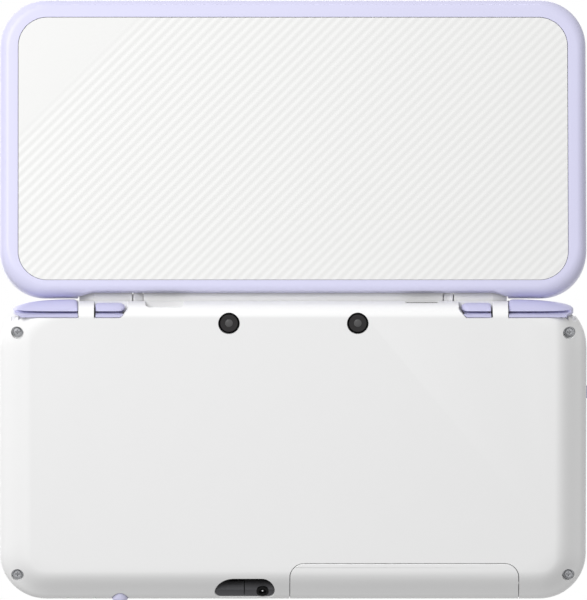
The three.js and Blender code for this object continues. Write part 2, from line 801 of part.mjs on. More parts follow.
// Cross pad on its rubber pivot pad
function make_cross_pad() {
  const arms_low = deck_low - cross_pad.flange;
  const cap = prism(cross_outline(0), arms_low, deck_top + cross_pad.top);
  const pivot_low = arms_low - gap.seat - pivot_pad.thickness;
  piece('cross_pad', cap, 'black_plastic');
  piece('pivot_pad', union(
    rod_z(cross_pad_x, cross_pad_y, pivot_pad.radius, pivot_low, pivot_low + pivot_pad.thickness),
    rod_z(cross_pad_x, cross_pad_y, pivot_pad.stud, mat_top + gap.seat, pivot_low + pivot_pad.thickness / 2),
  ), 'black_rubber');
}

// Push buttons: a domed or flat cap over a flange that stops under the deck
function push_button(name, x, y, sizes, finish) {
  const top = deck_top + sizes.top;
  const flange_top = deck_low - gap.seat;
  const edge = sizes.top / 3;
  piece(name, turned_z(x, y, [
    [0, flange_top - sizes.flange],
    [sizes.radius + gap.moving * 2, flange_top - sizes.flange],
    [sizes.radius + gap.moving * 2, flange_top],
    [sizes.radius, flange_top],
    [sizes.radius, top - edge],
    [sizes.radius - edge, top - edge / 4],
    [0, top],
  ], steps.small + steps.corner), finish);
}

function make_buttons() {
  Object.entries(face_button_places).forEach(([name, [x, y]]) => {
    push_button(name, x, y, face_button, 'lavender_plastic');
  });
  Object.entries(round_button_spots).forEach(([name, [x, y]]) => {
    push_button(name, x, y, round_button, 'white_plastic');
  });
  const home_flange = home_outline(gap.moving * 2);
  const home_top = deck_low - gap.seat;
  piece('home_button', union(
    prism(home_outline(0), home_top - round_button.flange / 2, deck_top + home_button.top),
    prism(home_flange, home_top - round_button.flange, home_top),
  ), 'white_plastic');
  const nub_low = mat_top + gap.stack;
  piece('pointing_nub', turned_z(nub_x, nub_y, [
    [0, board_top + gap.stack / 2],
    [nub.base_radius, board_top + gap.stack / 2],
    [nub.base_radius, nub_low],
    [nub.radius, nub_low],
    [nub.radius, deck_top + nub.top / 2],
    [nub.radius - nub.top / 2, deck_top + nub.top],
    [0, deck_top + nub.top],
  ]), 'grey_plastic');
}

// Rear buttons: a lower strip, a groove, and a full lip above it, on an arm that reaches inside
function rear_button_rings(profile, outline_at, sign) {
  return profile.heights.map((z, i) => ({ outline: mirrored(outline_at(profile.insets[i]), sign), z }));
}

function shoulder_outline(inset) {
  const rear = shoulder.proud - inset;
  const tip = shoulder_tip - inset * shoulder.tip_share;
  const waist = shoulder.front + (rear - shoulder.front) * shoulder.front_share;
  const count = steps.corner;
  const curve = Array.from({ length: count + 1 }, (_, i) => {
    const angle = (Math.PI / 2) * (i / count);
    return [
      shoulder_flat_end + (tip - shoulder_flat_end) * Math.sin(angle),
      rear - (rear - waist) * (1 - Math.cos(angle) ** shoulder.curve_share),
    ];
  });
  return [
    [shoulder_inner, shoulder.front],
    [shoulder_inner, rear],
    ...curve.slice(0, -1),
    [tip, waist],
    [tip - shoulder.tip_back, shoulder.front],
  ];
}

function trigger_outline(inset) {
  const rear = shoulder.proud - inset;
  const slant = Math.min(inset, trigger.bevel);
  return [
    [trigger_outer, trigger.front],
    [trigger_outer, rear],
    [trigger_inner + slant + trigger.bevel / 2, rear],
    ...trigger.slant_shares.map((share) => [trigger_inner + slant, rear - (rear - trigger.front) * share]),
    [trigger_inner + slant + trigger.bevel, trigger.front],
  ];
}

function make_rear_buttons() {
  sides.forEach(({ word, sign }) => {
    const [arm_from, arm_to] = span(sign, shoulder_inner + shoulder.arm_in, shoulder_flat_end);
    piece(`shoulder_button_${word}`, union(
      stack(rear_button_rings(shoulder_profile, shoulder_outline, sign)),
      block(
        arm_from,
        arm_to,
        shoulder.arm_front,
        shoulder.front + gap.seat,
        shoulder.arm_low,
        shoulder.arm_high,
      ),
    ), 'lavender_plastic');
    const [trigger_from, trigger_to] = span(sign, trigger_inner + trigger.bevel, trigger_outer);
    piece(`trigger_button_${word}`, union(
      stack(rear_button_rings(trigger_profile, trigger_outline, sign)),
      block(
        trigger_from,
        trigger_to,
        trigger.arm_front,
        trigger.front + gap.seat,
        trigger.arm_low,
        trigger.arm_high,
      ),
    ), 'lavender_plastic');
  });
}

// What shows on the underside and edges of the base
function make_base_fittings() {
  sides.forEach(({ word, sign }) => {
    piece(`camera_module_${word}`, turned_z(sign * camera_x, camera.y, [
      [0, camera.sunk],
      [camera.radius, camera.sunk],
      [camera.radius, camera.depth],
      [0, camera.depth],
    ], steps.round), 'smoked_window');
  });
  screw_places.forEach(({ name, x, y, low }) => {
    const under_head = low + screw.head_depth;
    piece(name, turned_z(x, y, [
      [0, low],
      [screw.head, low],
      [screw.head, under_head],
      [screw.shank, under_head],
      [screw.shank, under_head + screw.length - gap.seat],
      [0, under_head + screw.length - gap.seat],
    ]), 'steel');
  });

  const stylus_front = base_front - stylus.proud;
  const stylus_rear = -stylus.rear;
  piece('stylus', turned_y(stylus_x, stylus.z, [
    [0, stylus_front],
    [stylus.head_radius * stylus.nose_share, stylus_front],
    [stylus.head_radius, stylus_front + stylus.head_radius / 2],
    [stylus.head_radius, stylus_front + stylus.head],
    [stylus.radius, stylus_front + stylus.head],
    [stylus.radius, stylus_rear - stylus.tip],
    [stylus.radius / 3, stylus_rear],
    [0, stylus_rear],
  ]), 'lavender_plastic');
  piece('stylus_sleeve', cut(
    rod_y(stylus_x, stylus.z, sleeve.outer, base_front + sleeve.front, stylus_rear + sleeve.past),
    rod_y(stylus_x, stylus.z, sleeve.bore, base_front, stylus_rear + gap.moving),
  ), 'black_plastic');

  piece('card_cover', base_shell.intersect(card_window(0)), 'white_plastic');
  const slot_x = [card_slot_x - card_slot.width / 2, card_slot_x + card_slot.width / 2];
  const slot_high = card_slot.low + card_slot.height;
  piece('card_slot', cut(
    block(...slot_x, card_slot_from, card_slot_from + card_slot.depth, card_slot.low, slot_high),
    block(
      slot_x[0] + card_slot.wall,
      slot_x[1] - card_slot.wall,
      -big,
      card_slot_from + card_slot.depth - card_slot.wall * 2,
      card_slot.low + card_slot.floor,
      slot_high - card_slot.wall,
    ),
  ), 'black_plastic');
  piece('memory_card_socket', block(
    memory_socket.side - half_width - memory_socket.width / 2,
    memory_socket.side - half_width + memory_socket.width / 2,
    card_slot_from + gap.moving,
    card_slot_from + memory_socket.depth,
    board_low - gap.stack - memory_socket.thickness,
    board_low - gap.stack,
  ), 'steel');

  const audio_solid = cut(base_skin(audio.sunk), base_skin(audio.sunk + audio.deep));
  const jack_rod = new THREE.CylinderGeometry(
    audio.jack_radius,
    audio.jack_radius,
    audio.jack_depth * 2,
    steps.small,
  );
  jack_rod.rotateX(-THREE.MathUtils.degToRad(audio.jack_tilt));
  jack_rod.translate(audio.jack_x, base_front + audio.jack_front, audio.jack_z);
  piece('audio_block', cut(
    audio_solid.intersect(audio_window(-gap.seat / 2)),
    solid(jack_rod),
  ), 'black_plastic');

  piece('power_inlet', cut(
    block(
      inlet_from + gap.seat,
      inlet_to - gap.seat,
      -inlet.pocket + gap.seat,
      -inlet.wall,
      inlet.low + gap.seat,
      inlet.high - gap.seat,
    ),
    block(
      inlet_from + gap.seat + inlet.wall,
      inlet_to - gap.seat - inlet.wall,
      -inlet.pocket + gap.seat + inlet.wall,
      gap.overrun,
      inlet.low + gap.seat + inlet.wall / 2,
      inlet.high - gap.seat - inlet.wall / 2,
    ),
  ), 'black_plastic');
  piece('infrared_window', block(
    infrared_from,
    infrared_to,
    -case_size.wall - infrared.depth,
    -gap.stack,
    infrared.low,
    infrared.high,
  ), 'smoked_window');
  piece('volume_slider', block(
    -half_width - volume.proud,
    -half_width + case_size.wall + gap.seat,
    volume.rear - volume.length,
    volume.rear,
    volume.low + gap.stack,
    volume.low + volume.height - gap.stack,
  ), 'lavender_plastic');
  indicator_places.forEach((x, i) => {
    piece(`indicator_window_${i + 1}`, rod_y(
      x,
      indicator.z,
      indicator.radius,
      base_front + gap.seat,
      base_front + indicator.length - gap.seat,
      steps.corner,
    ), 'indicator');
  });
}

// Hinge: the fixed centre cover, its collars and cartridges
function make_hinge() {
  const collar_from = bar_half + gap.seat / 2;
  const cover_bores = sides.map(({ sign }) => (
    hinge_cylinder(hinge.clutch_radius + gap.stack, ...span(sign, bar_half - hinge.clutch_length, big))
  ));
  const eye_tilt = THREE.MathUtils.degToRad(inner_camera.tilt);
  const eye = (radius, from, to) => {
    const geometry = new THREE.CylinderGeometry(radius, radius, to - from, steps.small);
    geometry.translate(0, (from + to) / 2, 0).rotateX(eye_tilt);
    return solid(geometry.translate(0, hinge.y, hinge_height));
  };
  const eye_from = hinge.bar_radius - inner_camera.depth;
  piece('hinge_centre_cover', cut(
    hinge_cylinder(hinge.bar_radius, -bar_half, bar_half),
    ...cover_bores,
    eye(inner_camera.radius + gap.stack, eye_from, hinge.bar_radius + gap.overrun),
  ), 'grey_plastic');
  const eye_to = hinge.bar_radius - inner_camera.proud;
  piece('inner_camera', eye(inner_camera.radius, eye_from + gap.stack, eye_to), 'smoked_window');
  sides.forEach(({ word, sign }) => {
    piece(`hinge_collar_${word}`, cut(
      hinge_cylinder(hinge.collar_radius, ...span(sign, collar_from, collar_from + hinge.collar_width)),
      hinge_cylinder(hinge.shaft_radius + gap.stack, -big, big),
    ), 'white_plastic');
    piece(`hinge_cartridge_${word}`, union(
      hinge_cylinder(
        hinge.clutch_radius,
        ...span(sign, bar_half - hinge.clutch_length + gap.stack, bar_half - gap.stack),
      ),
      hinge_cylinder(
        hinge.shaft_radius,
        ...span(sign, bar_half - gap.overrun, bar_half + hinge.shaft_length),
      ),
    ), 'steel');
  });
}

// Lid, drawn closed over the base
function lid_skin() {
  const ring = (side, rear, z) => ({
    outline: rounded(
      -half_width + side,
      half_width - side,
      base_front + side,
      case_size.lid_rear - rear,
      case_size.corner_radius - side,
    ),
    z,
  });
  const rings = [];
  for (let i = 0; i <= steps.roll; i += 1) {
    const angle = (Math.PI / 2) * (i / steps.roll);
    const share = 1 - Math.sin(angle);
    const rise = lid_roll.inner + (lid_roll.inner_rear - lid_roll.inner) / 2;
    const z = lid_low + rise * (1 - Math.cos(angle));
    rings.push(ring(lid_roll.inner * share, lid_roll.inner_rear * share, z));
  }
  for (let i = 0; i <= steps.roll; i += 1) {
    const angle = (Math.PI / 2) * (i / steps.roll);
    const inset = lid_roll.back * (1 - Math.cos(angle));
    rings.push(ring(inset, inset, lid_high - lid_roll.back_height * (1 - Math.sin(angle))));
  }
  return stack(rings);
}

function make_lid() {
  const notch_y = case_size.lid_rear - notch.depth;
  const notch_inner = notch_outer - notch.slant;
  const notch_cut = prism([
    [-notch_outer, gap.overrun],
    [-notch_outer, case_size.lid_rear],
    [-notch_inner, notch_y],
    [notch_inner, notch_y],
    [notch_outer, case_size.lid_rear],
    [notch_outer, gap.overrun],
  ], 0, big);
  const bar_room = hinge_cylinder(hinge.bar_radius + hinge.running, -notch_outer, notch_outer);
  const plate_area = (shrink, z0, z1) => prism(rounded(
    -half_width + lid_plate.side + shrink,
    half_width - lid_plate.side - shrink,
    base_front + lid_plate.front + shrink,
    case_size.lid_rear - lid_plate.rear - shrink,
    lid_plate.radius - shrink,
  ), z0, z1);
  const window_area = (shrink, z0, z1) => prism(rounded(
    -half_width + lid_window.side + shrink,
    half_width - lid_window.side - shrink,
    base_front + lid_window.side + shrink,
    -lid_window.rear - shrink,
    lid_window.radius - shrink,
  ), z0, z1);
  const plate_low = lid_high - lid_plate.thickness - lid_plate.below;
  const window_low = lid_low + lid_window.sunk;
  const window_high = window_low + lid_window.thickness;
  const display_low = window_high + gap.stack;
  const web_low = plate_low - gap.stack - lid_web.thickness;
  const knuckles = sides.map(({ sign }) => {
    const from = bar_half + hinge.collar_width + gap.moving * 2;
    const to = notch_outer - gap.seat;
    const reach = hinge.bar_radius + gap.seat * 2;
    return cut(
      union(
        hinge_cylinder(hinge.bar_radius, ...span(sign, from, to)),
        block(
          ...span(sign, from, to),
          hinge.y - reach,
          hinge.y - hinge.bar_radius / 2,
          hinge_height + hinge.bar_radius / 3,
          hinge_height + hinge.bar_radius,
        ),
      ),
      hinge_cylinder(
        hinge.shaft_radius + gap.seat,
        ...span(sign, 0, bar_half + hinge.shaft_length + gap.seat),
      ),
    );
  });
  const frame_solid = cut(
    lid_skin(),
    notch_cut,
    bar_room,
    plate_area(0, plate_low - gap.stack, big),
    window_area(0, 0, window_high + gap.stack / 2),
    window_area(lid_web.border, window_low, web_low),
  );
  piece('lid_frame', union(frame_solid, ...knuckles), 'lavender_plastic', lid_group);
  const plate = plate_area(gap.seat, plate_low, lid_high - lid_plate.below);
  piece('lid_back_plate', plate, 'white_plastic', lid_group);
  piece('lid_window', window_area(gap.seat, window_low, window_high), 'dark_glass', lid_group);
  piece('upper_display', block(
    upper_display.side - half_width,
    half_width - upper_display.side,
    base_front + lid_window.side + upper_display.border,
    -lid_window.rear - upper_display.border,
    display_low,
    web_low - gap.stack,
  ), 'display', lid_group);
  sides.forEach(({ word, sign }) => {
    piece(`lid_bumper_${word}`, rod_z(
      sign * (half_width - bumper.side),
      base_front + bumper.front,
      bumper.radius,
      lid_low - bumper.height,
      lid_low,
    ), 'black_rubber', lid_group);
  });
}

make_bottom_case();
make_top_case();
make_deck();
make_base_insides();
make_circle_pad();
make_cross_pad();
make_buttons();
make_rear_buttons();
make_base_fittings();
make_hinge();
make_lid();

// The lid turns open about the hinge, and the footprint's centre goes to the origin.
lid_group.position.set(0, -hinge.y, -hinge_height);
lid_pivot.position.set(0, hinge.y, hinge_height);
lid_pivot.rotation.x = -THREE.MathUtils.degToRad(hinge.open_angle);
console_group.updateMatrixWorld(true);
const footprint = new THREE.Box3().setFromObject(console_group, true);
console_group.position.x = -(footprint.min.x + footprint.max.x) / 2;
console_group.position.y = -(footprint.min.y + footprint.max.y) / 2;

export default console_group;
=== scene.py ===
"""Clamshell handheld game console, opened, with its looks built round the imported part.

Both halves are drawn closed, in millimetres: y = 0 is the base's rear edge, z = 0 its underside, the
player's right is +X. Placing turns the lid open and brings each finished piece into the frame, in metres.
"""
import json
import logging
import math
from collections.abc import Callable, Sequence
from dataclasses import dataclass, field
from enum import Enum

import bpy
from mathutils import Matrix, Vector

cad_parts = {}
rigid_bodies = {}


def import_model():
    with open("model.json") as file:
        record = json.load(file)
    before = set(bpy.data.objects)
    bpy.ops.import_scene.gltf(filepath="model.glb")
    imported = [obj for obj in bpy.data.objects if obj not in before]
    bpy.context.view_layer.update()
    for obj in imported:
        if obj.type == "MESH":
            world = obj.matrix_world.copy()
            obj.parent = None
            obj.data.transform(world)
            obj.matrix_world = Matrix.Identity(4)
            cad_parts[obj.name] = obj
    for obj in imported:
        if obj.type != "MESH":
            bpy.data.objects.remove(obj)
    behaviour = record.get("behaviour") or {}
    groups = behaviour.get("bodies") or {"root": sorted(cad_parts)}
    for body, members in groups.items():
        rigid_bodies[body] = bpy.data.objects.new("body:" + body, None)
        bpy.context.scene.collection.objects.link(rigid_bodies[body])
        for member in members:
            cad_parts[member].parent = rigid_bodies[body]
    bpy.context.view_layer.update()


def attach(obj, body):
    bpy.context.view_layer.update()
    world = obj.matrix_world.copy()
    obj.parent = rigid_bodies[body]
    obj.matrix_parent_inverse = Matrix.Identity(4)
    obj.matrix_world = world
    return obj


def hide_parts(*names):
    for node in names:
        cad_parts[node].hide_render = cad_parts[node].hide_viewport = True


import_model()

LOG = logging.getLogger("console")
MM = 0.001
CENTRING = Vector((0.2, 2.3165, 0.0))
HINGE_LINE = Vector((0.0, -0.2, 12.7))
OPEN_ANGLE = math.radians(158.0)
HALF_WIDTH = 80.0
FRONT = -82.2
SIDES = (("right", 1), ("left", -1))

Span = tuple[float, float]
Box = tuple[Span, Span, Span]
Point = tuple[float, float, float]
Colour = tuple[float, float, float, float]
Profile = Sequence[Span]
Piece = bpy.types.Object


def ordered(a: float, b: float) -> Span:
    """Returns two numbers as a span, the lower one first."""
    return (a, b) if a < b else (b, a)


def srgb(*levels: float) -> Colour:
    """Turns red, green and blue of 0 to 255, as read off a screen, into the shader's linear colour."""
    shares = (level / 255 for level in levels)
    linear = (share / 12.92 if share <= 0.04045 else ((share + 0.055) / 1.055) ** 2.4 for share in shares)
    return (*linear, 1.0)


class Placing(Enum):
    """Which half of the console a drawing belongs to."""

    BASE = "base"
    LID = "lid"

    def matrix(self) -> Matrix:
        """Returns the transform from the closed drawing in millimetres to the frame in metres."""
        to_frame = Matrix.Scale(MM, 4) @ Matrix.Translation(CENTRING)
        if self is Placing.BASE:
            return to_frame
        swing = Matrix.Rotation(-OPEN_ANGLE, 4, "X")
        return to_frame @ Matrix.Translation(HINGE_LINE) @ swing @ Matrix.Translation(-HINGE_LINE)


class Cut(Enum):
    """What a boolean does with the second solid."""

    AWAY = "DIFFERENCE"
    JOIN = "UNION"
    KEEP = "INTERSECT"


# Shader graph

class Value:
    """A number running through a shader. Sums on it add Math nodes."""

    def __init__(self, graph: "Graph", socket: bpy.types.NodeSocket) -> None:
        """Wraps one output socket of a graph."""
        self.graph = graph
        self.socket = socket

    def sum(self, operation: str, *others: "Value | float") -> "Value":
        """Adds a Math node on this value and others.

        Args:
            operation: The Math node's operation.
            others: The further operands, values or plain numbers.

        Returns:
            The node's result.
        """
        node = self.graph.node("ShaderNodeMath", {"operation": operation}, dict(enumerate((self, *others))))
        return Value(self.graph, node.outputs[0])

    def __add__(self, other: "Value | float") -> "Value":
        """Returns the sum."""
        return self.sum("ADD", other)

    __radd__ = __add__

    def __sub__(self, other: "Value | float") -> "Value":
        """Returns the difference."""
        return self.sum("SUBTRACT", other)

    def __rsub__(self, other: float) -> "Value":
        """Returns a plain number less this value."""
        return self * -1.0 + other

    def __mul__(self, other: "Value | float") -> "Value":
        """Returns the product."""
        return self.sum("MULTIPLY", other)

    __rmul__ = __mul__

    def __truediv__(self, other: "Value | float") -> "Value":
        """Returns the quotient."""
        return self.sum("DIVIDE", other)

    def __abs__(self) -> "Value":
        """Returns the size without the sign."""
        return self.sum("ABSOLUTE")

    def over(self, edge: float, blur: float) -> "Value":
        """Returns a mask that rises from 0 to 1 round an edge, over a blur's width."""
        return ((self - edge) / blur + 0.5).sum("MAXIMUM", 0.0).sum("MINIMUM", 1.0)


class Graph:
    """One material's nodes, with a Principled shader that feeds its output."""

    def __init__(self, name: str) -> None:
        """Starts a material of that name."""
        self.material = bpy.data.materials.new(name)
        self.material.use_nodes = True
        self.tree = self.material.node_tree
        self.shader = self.tree.nodes["Principled BSDF"]

    def node(self, kind: str, settings: dict | None = None, inputs: dict | None = None) -> bpy.types.Node:
        """Adds a node.

        Args:
            kind: The node's type.
            settings: Its properties, and a ramp's stops under "stops", which are set first.
            inputs: The numbers, colours or links of its sockets, by name or place.

        Returns:
            The node.
        """
        node = self.tree.nodes.new(kind)
        for key, value in (settings or {}).items():
            if key != "stops":
                setattr(node, key, value)
                continue
            for place, (position, colour) in enumerate(value):
                stops = node.color_ramp.elements
                stop = stops[place] if place < 2 else stops.new(position)
                stop.position, stop.color = position, colour
        for key, value in (inputs or {}).items():
            self.feed(node.inputs[key], value)
        return node

    def feed(self, socket: bpy.types.NodeSocket, value: object) -> None:
        """Sets an input socket to a number or colour, or links it to a value or an output."""
        if isinstance(value, Value):
            value = value.socket
        if isinstance(value, bpy.types.NodeSocket):
            self.tree.links.new(value, socket)
        else:
            socket.default_value = value

    def set(self, **sockets: object) -> None:
        """Feeds the shader's sockets, named with underscores for spaces."""
        for name, value in sockets.items():
            self.feed(self.shader.inputs[name.replace("_", " ")], value)

    def place(self, turn: float = 0.0, stretch: Point = (1.0, 1.0, 1.0)) -> bpy.types.NodeSocket:
        """Returns Object coordinates, turned about X and squeezed along each axis."""
        here = self.node("ShaderNodeTexCoord").outputs["Object"]
        inputs = {"Vector": here, "Rotation": (turn, 0.0, 0.0), "Scale": stretch}
        node = self.node("ShaderNodeMapping", None, inputs)
        return node.outputs["Vector"]

    def axes(self, turn: float = 0.0) -> tuple[Value, Value]:
        """Returns the places across and along in millimetres, turned about X to lie square on the lid."""
        outputs = self.node("ShaderNodeSeparateXYZ", None, {0: self.place(turn)}).outputs
        return Value(self, outputs[0]) / MM, Value(self, outputs[1]) / MM

    def noise(self, size: float, detail: float = 2.0, stretch: Point = (1.0, 1.0, 1.0)) -> Value:
        """Adds a noise pattern.

        Args:
            size: The width of a speck, in millimetres.
            detail: How many finer layers it has.
            stretch: How much the pattern is squeezed along each axis.

        Returns:
            The noise, about 0.5.
        """
        node = self.node("ShaderNodeTexNoise", None, {
            "Vector": self.place(stretch=stretch), "Scale": 1 / (size * MM), "Detail": detail,
            "Roughness": 0.55,
        })
        return Value(self, node.outputs[0])

    def blend(self, factor: Value, first: object, second: object) -> bpy.types.NodeSocket:
        """Returns the mix of two colours or colour links, the first one where the factor is 0."""
        node = self.node("ShaderNodeMix", {"data_type": "RGBA"}, {0: factor, 6: first, 7: second})
        return node.outputs[2]

    def bump(self, height: Value, depth: float) -> None:
        """Roughens the shader's normal by a height pattern, its full range being a depth in millimetres."""
        node = self.node("ShaderNodeBump", None, {"Height": height, "Distance": depth * MM, "Strength": 1.0})
        self.set(Normal=node.outputs["Normal"])


def shade(colour: Colour, factor: float) -> Colour:
    """Returns a colour made lighter or darker by a factor, its alpha kept."""
    return (*(min(1.0, level * factor) for level in colour[:3]), 1.0)


# Finishes

@dataclass(frozen=True)
class Roll:
    """How a shell's lower edge falls away inside its outline, over and above its shape, for the light."""

    reach: Span = (1.8, 8.6)
    fall: float = 1.55
    radius: float = 12.6

    def height(self, graph: Graph) -> Value:
        """Returns the height in millimetres, level in the middle and lower to the front and the sides."""
        across, along = graph.axes()
        side = (abs(across - CENTRING.x) - (HALF_WIDTH - self.radius)).sum("MAXIMUM", 0.0)
        front = (FRONT + self.radius - (along - CENTRING.y)).sum("MAXIMUM", 0.0)
        inward = self.radius - (side * side + front * front).sum("SQRT")
        low, high = self.reach
        share = inward.over((low + high) / 2, high - low)
        return share * share * (3.0 - share * 2.0) * self.fall


@dataclass(frozen=True)
class Coat:
    """Any finish: its main colour, and how it dresses a graph."""

    colour: Colour

    def dress(self, graph: Graph) -> None:
        """Adds the finish's nodes to a graph."""
        raise NotImplementedError

    def build(self, name: str) -> bpy.types.Material:
        """Returns a new material of that name."""
        graph = Graph(name)
        self.dress(graph)
        return graph.material

    def mix(self, graph: Graph, factor: Value, spread: float,
            colour: Colour | None = None) -> bpy.types.NodeSocket:
        """Returns the main or another colour, lighter and darker by a spread as the factor varies."""
        colour = colour or self.colour
        return graph.blend(factor, shade(colour, 1 - spread), shade(colour, 1 + spread))


@dataclass(frozen=True)
class Moulding(Coat):
    """Moulded plastic or rubber: a fine spark-eroded grain, slow mottling and a soft gloss, and, where a span
    is given, painted shade that darkens the colour towards one end.
    """

    roughness: float = 0.42
    grain: float = 0.16
    depth: float = 0.006
    mottle: float = 0.02
    gloss: float = 0.4
    # Painted shade: over this span along the depth, the colour runs from the painted dark level at its first
    # end to the full colour at its second.
    fade: Span | None = None
    faded: float = 0.25
    roll: Roll | None = None

    def dress(self, graph: Graph) -> None:
        """Adds the finish's nodes to a graph."""
        grain = graph.noise(self.grain, 3.0)
        drift = graph.noise(9.0, 2.0)
        tint = self.mix(graph, drift, self.mottle)
        # Painted shade: darkens the colour towards the first end of the span.
        if self.fade:
            share = (graph.axes()[1] - CENTRING.y - self.fade[0]) / (self.fade[1] - self.fade[0])
            tint = graph.blend(share, shade(self.colour, self.faded), tint)
        rough = self.roughness + (grain - 0.5) * 0.16
        graph.set(Base_Color=tint, Roughness=rough, Specular_IOR_Level=self.gloss)
        fall = self.roll.height(graph) if self.roll else 0.0
        graph.bump(grain * self.depth + fall, 1.0)


@dataclass(frozen=True)
class Glazing(Coat):
    """A polished window or screen: near-black, with a faint lit area behind the glass and slight smears."""

    screen: Colour | None = None
    half: Span = (1.0, 1.0)
    centre: float = 0.0
    turn: float = 0.0
    roughness: float = 0.07
    gloss: float = 0.5

    def dress(self, graph: Graph) -> None:
        """Adds the finish's nodes to a graph."""
        smear = graph.noise(14.0, 4.0)
        tint = self.mix(graph, smear, 0.15)
        if self.screen:
            across, along = graph.axes(self.turn)
            border = abs(across - CENTRING.x).over(self.half[0], 0.3).sum(
                "MAXIMUM", abs(along - self.centre).over(self.half[1], 0.3))
            lines = ((across * 8.0).sum("SINE") * 0.5 + 0.5) * ((along * 8.0).sum("SINE") * 0.5 + 0.5)
            tint = graph.blend(border, self.mix(graph, lines, 0.2, self.screen), tint)
        graph.set(Base_Color=tint, Roughness=self.roughness + smear * 0.06, Specular_IOR_Level=self.gloss)
        graph.bump(smear, 0.002)


@dataclass(frozen=True)
class Metal(Coat):
    """Turned or pressed steel: fine lines of brushing that catch the light."""

    roughness: float = 0.34
    stretch: Point = (1.0, 6.0, 6.0)

    def dress(self, graph: Graph) -> None:
        """Adds the finish's nodes to a graph."""
        lines = graph.noise(0.6, 3.0, self.stretch)
        tint = graph.blend(lines, shade(self.colour, 0.86), shade(self.colour, 1.1))
        graph.set(Base_Color=tint, Metallic=1.0, Roughness=self.roughness + (lines - 0.5) * 0.3)
        graph.bump(lines, 0.004)


@dataclass(frozen=True)
class Board(Coat):
    """A circuit board: lacquered copper tracks under a green mask."""

    track: Colour

    def dress(self, graph: Graph) -> None:
        """Adds the finish's nodes to a graph."""
        black, white = (0, 0, 0, 1), (1, 1, 1, 1)
        cells = graph.node("ShaderNodeTexBrick", None, {
            "Vector": graph.place(), "Scale": 200.0, "Mortar Size": 0.08,
            "Color1": black, "Color2": black, "Mortar": white,
        })
        tracks = Value(graph, cells.outputs["Fac"])
        speckle = graph.noise(0.8, 2.0)
        tint = graph.blend(tracks, self.mix(graph, speckle, 0.2), self.track)
        graph.set(Base_Color=tint, Roughness=0.4 + speckle * 0.2)
        graph.bump(tracks, 0.02)


class Finish(Enum):
    """The console's finishes. Each is built once, when first used."""

    WHITE = Moulding(srgb(242, 242, 242), 0.44, 0.14, 0.005, 0.006)
    SHELL = Moulding(srgb(244, 244, 244), 0.44, 0.14, 0.005, 0.006, roll=Roll())
    PLATE = Moulding(srgb(231, 231, 230), 0.38, 0.12, 0.003, 0.004)
    LAVENDER = Moulding(srgb(213, 212, 238), 0.36, 0.14, 0.004, 0.008)
    KEY = Moulding(srgb(200, 199, 229), 0.36, 0.14, 0.004, 0.008)
    GREY = Moulding(srgb(240, 240, 238), 0.5, 0.14, 0.006, 0.01)
    BLACK = Moulding(srgb(38, 38, 40), 0.5, 0.12, 0.008, 0.05)
    # The black jack block carries painted light: it is near black at its rear, which is painted shade under
    # the recess wall, and rises to a mid grey at the front edge, which is a painted sheen of the tilted face.
    JACK = Moulding(srgb(98, 98, 101), 0.5, 0.2, 0.008, 0.04, 0.06, (-76.3, -80.6), 0.03)
    RUBBER = Moulding(srgb(46, 46, 48), 0.78, 0.1, 0.012, 0.06, 0.25)
    WRAP = Moulding(srgb(70, 73, 80), 0.5, 0.4, 0.01, 0.06)
    LAMP = Moulding(srgb(226, 234, 226), 0.25, 0.3, 0.003, 0.02, 0.5)
    EYE = Glazing(srgb(36, 34, 35), roughness=0.09, gloss=0.3)
    EYE_LENS = Glazing(srgb(74, 73, 74), roughness=0.12)
    EYE_RIM = Moulding(srgb(8, 8, 9), 0.5, 0.1, 0.004, 0.04, 0.1)
    TOUCH = Glazing(srgb(24, 24, 27), srgb(46, 49, 53), (41.0, 30.5), -38.4)
    UPPER = Glazing(srgb(16, 16, 18), srgb(34, 36, 40), (53.0, 32.0), -40.8, OPEN_ANGLE)
    SCREEN = Glazing(srgb(40, 43, 48), roughness=0.2)
    STEEL = Metal(srgb(190, 191, 194))
    SCREW = Metal(srgb(176, 177, 180), 0.42, (3.0, 3.0, 3.0))
    BOARD = Board(srgb(28, 88, 58), srgb(60, 128, 84))

    def material(self) -> bpy.types.Material:
        """Returns the finish's one material, making it when it isn't there yet."""
        name = self.name.lower()
        return bpy.data.materials.get(name) or self.value.build(name)


# Modelling

@dataclass(frozen=True)
class Ring:
    """One level outline of a loft: its spans across and along, and its height."""

    x: Span
    y: Span
    z: float


# A plate's corner: its end across and along, 0 or 1, how far its quarter ellipse runs both ways, its faces
Corner = tuple[int, int, float, float, int]

# How a turned solid lies: its axis upright, or running back from the front edge
UPRIGHT: Point = (0.0, 0.0, 0.0)
ALONG: Point = (-math.pi / 2, 0.0, 0.0)


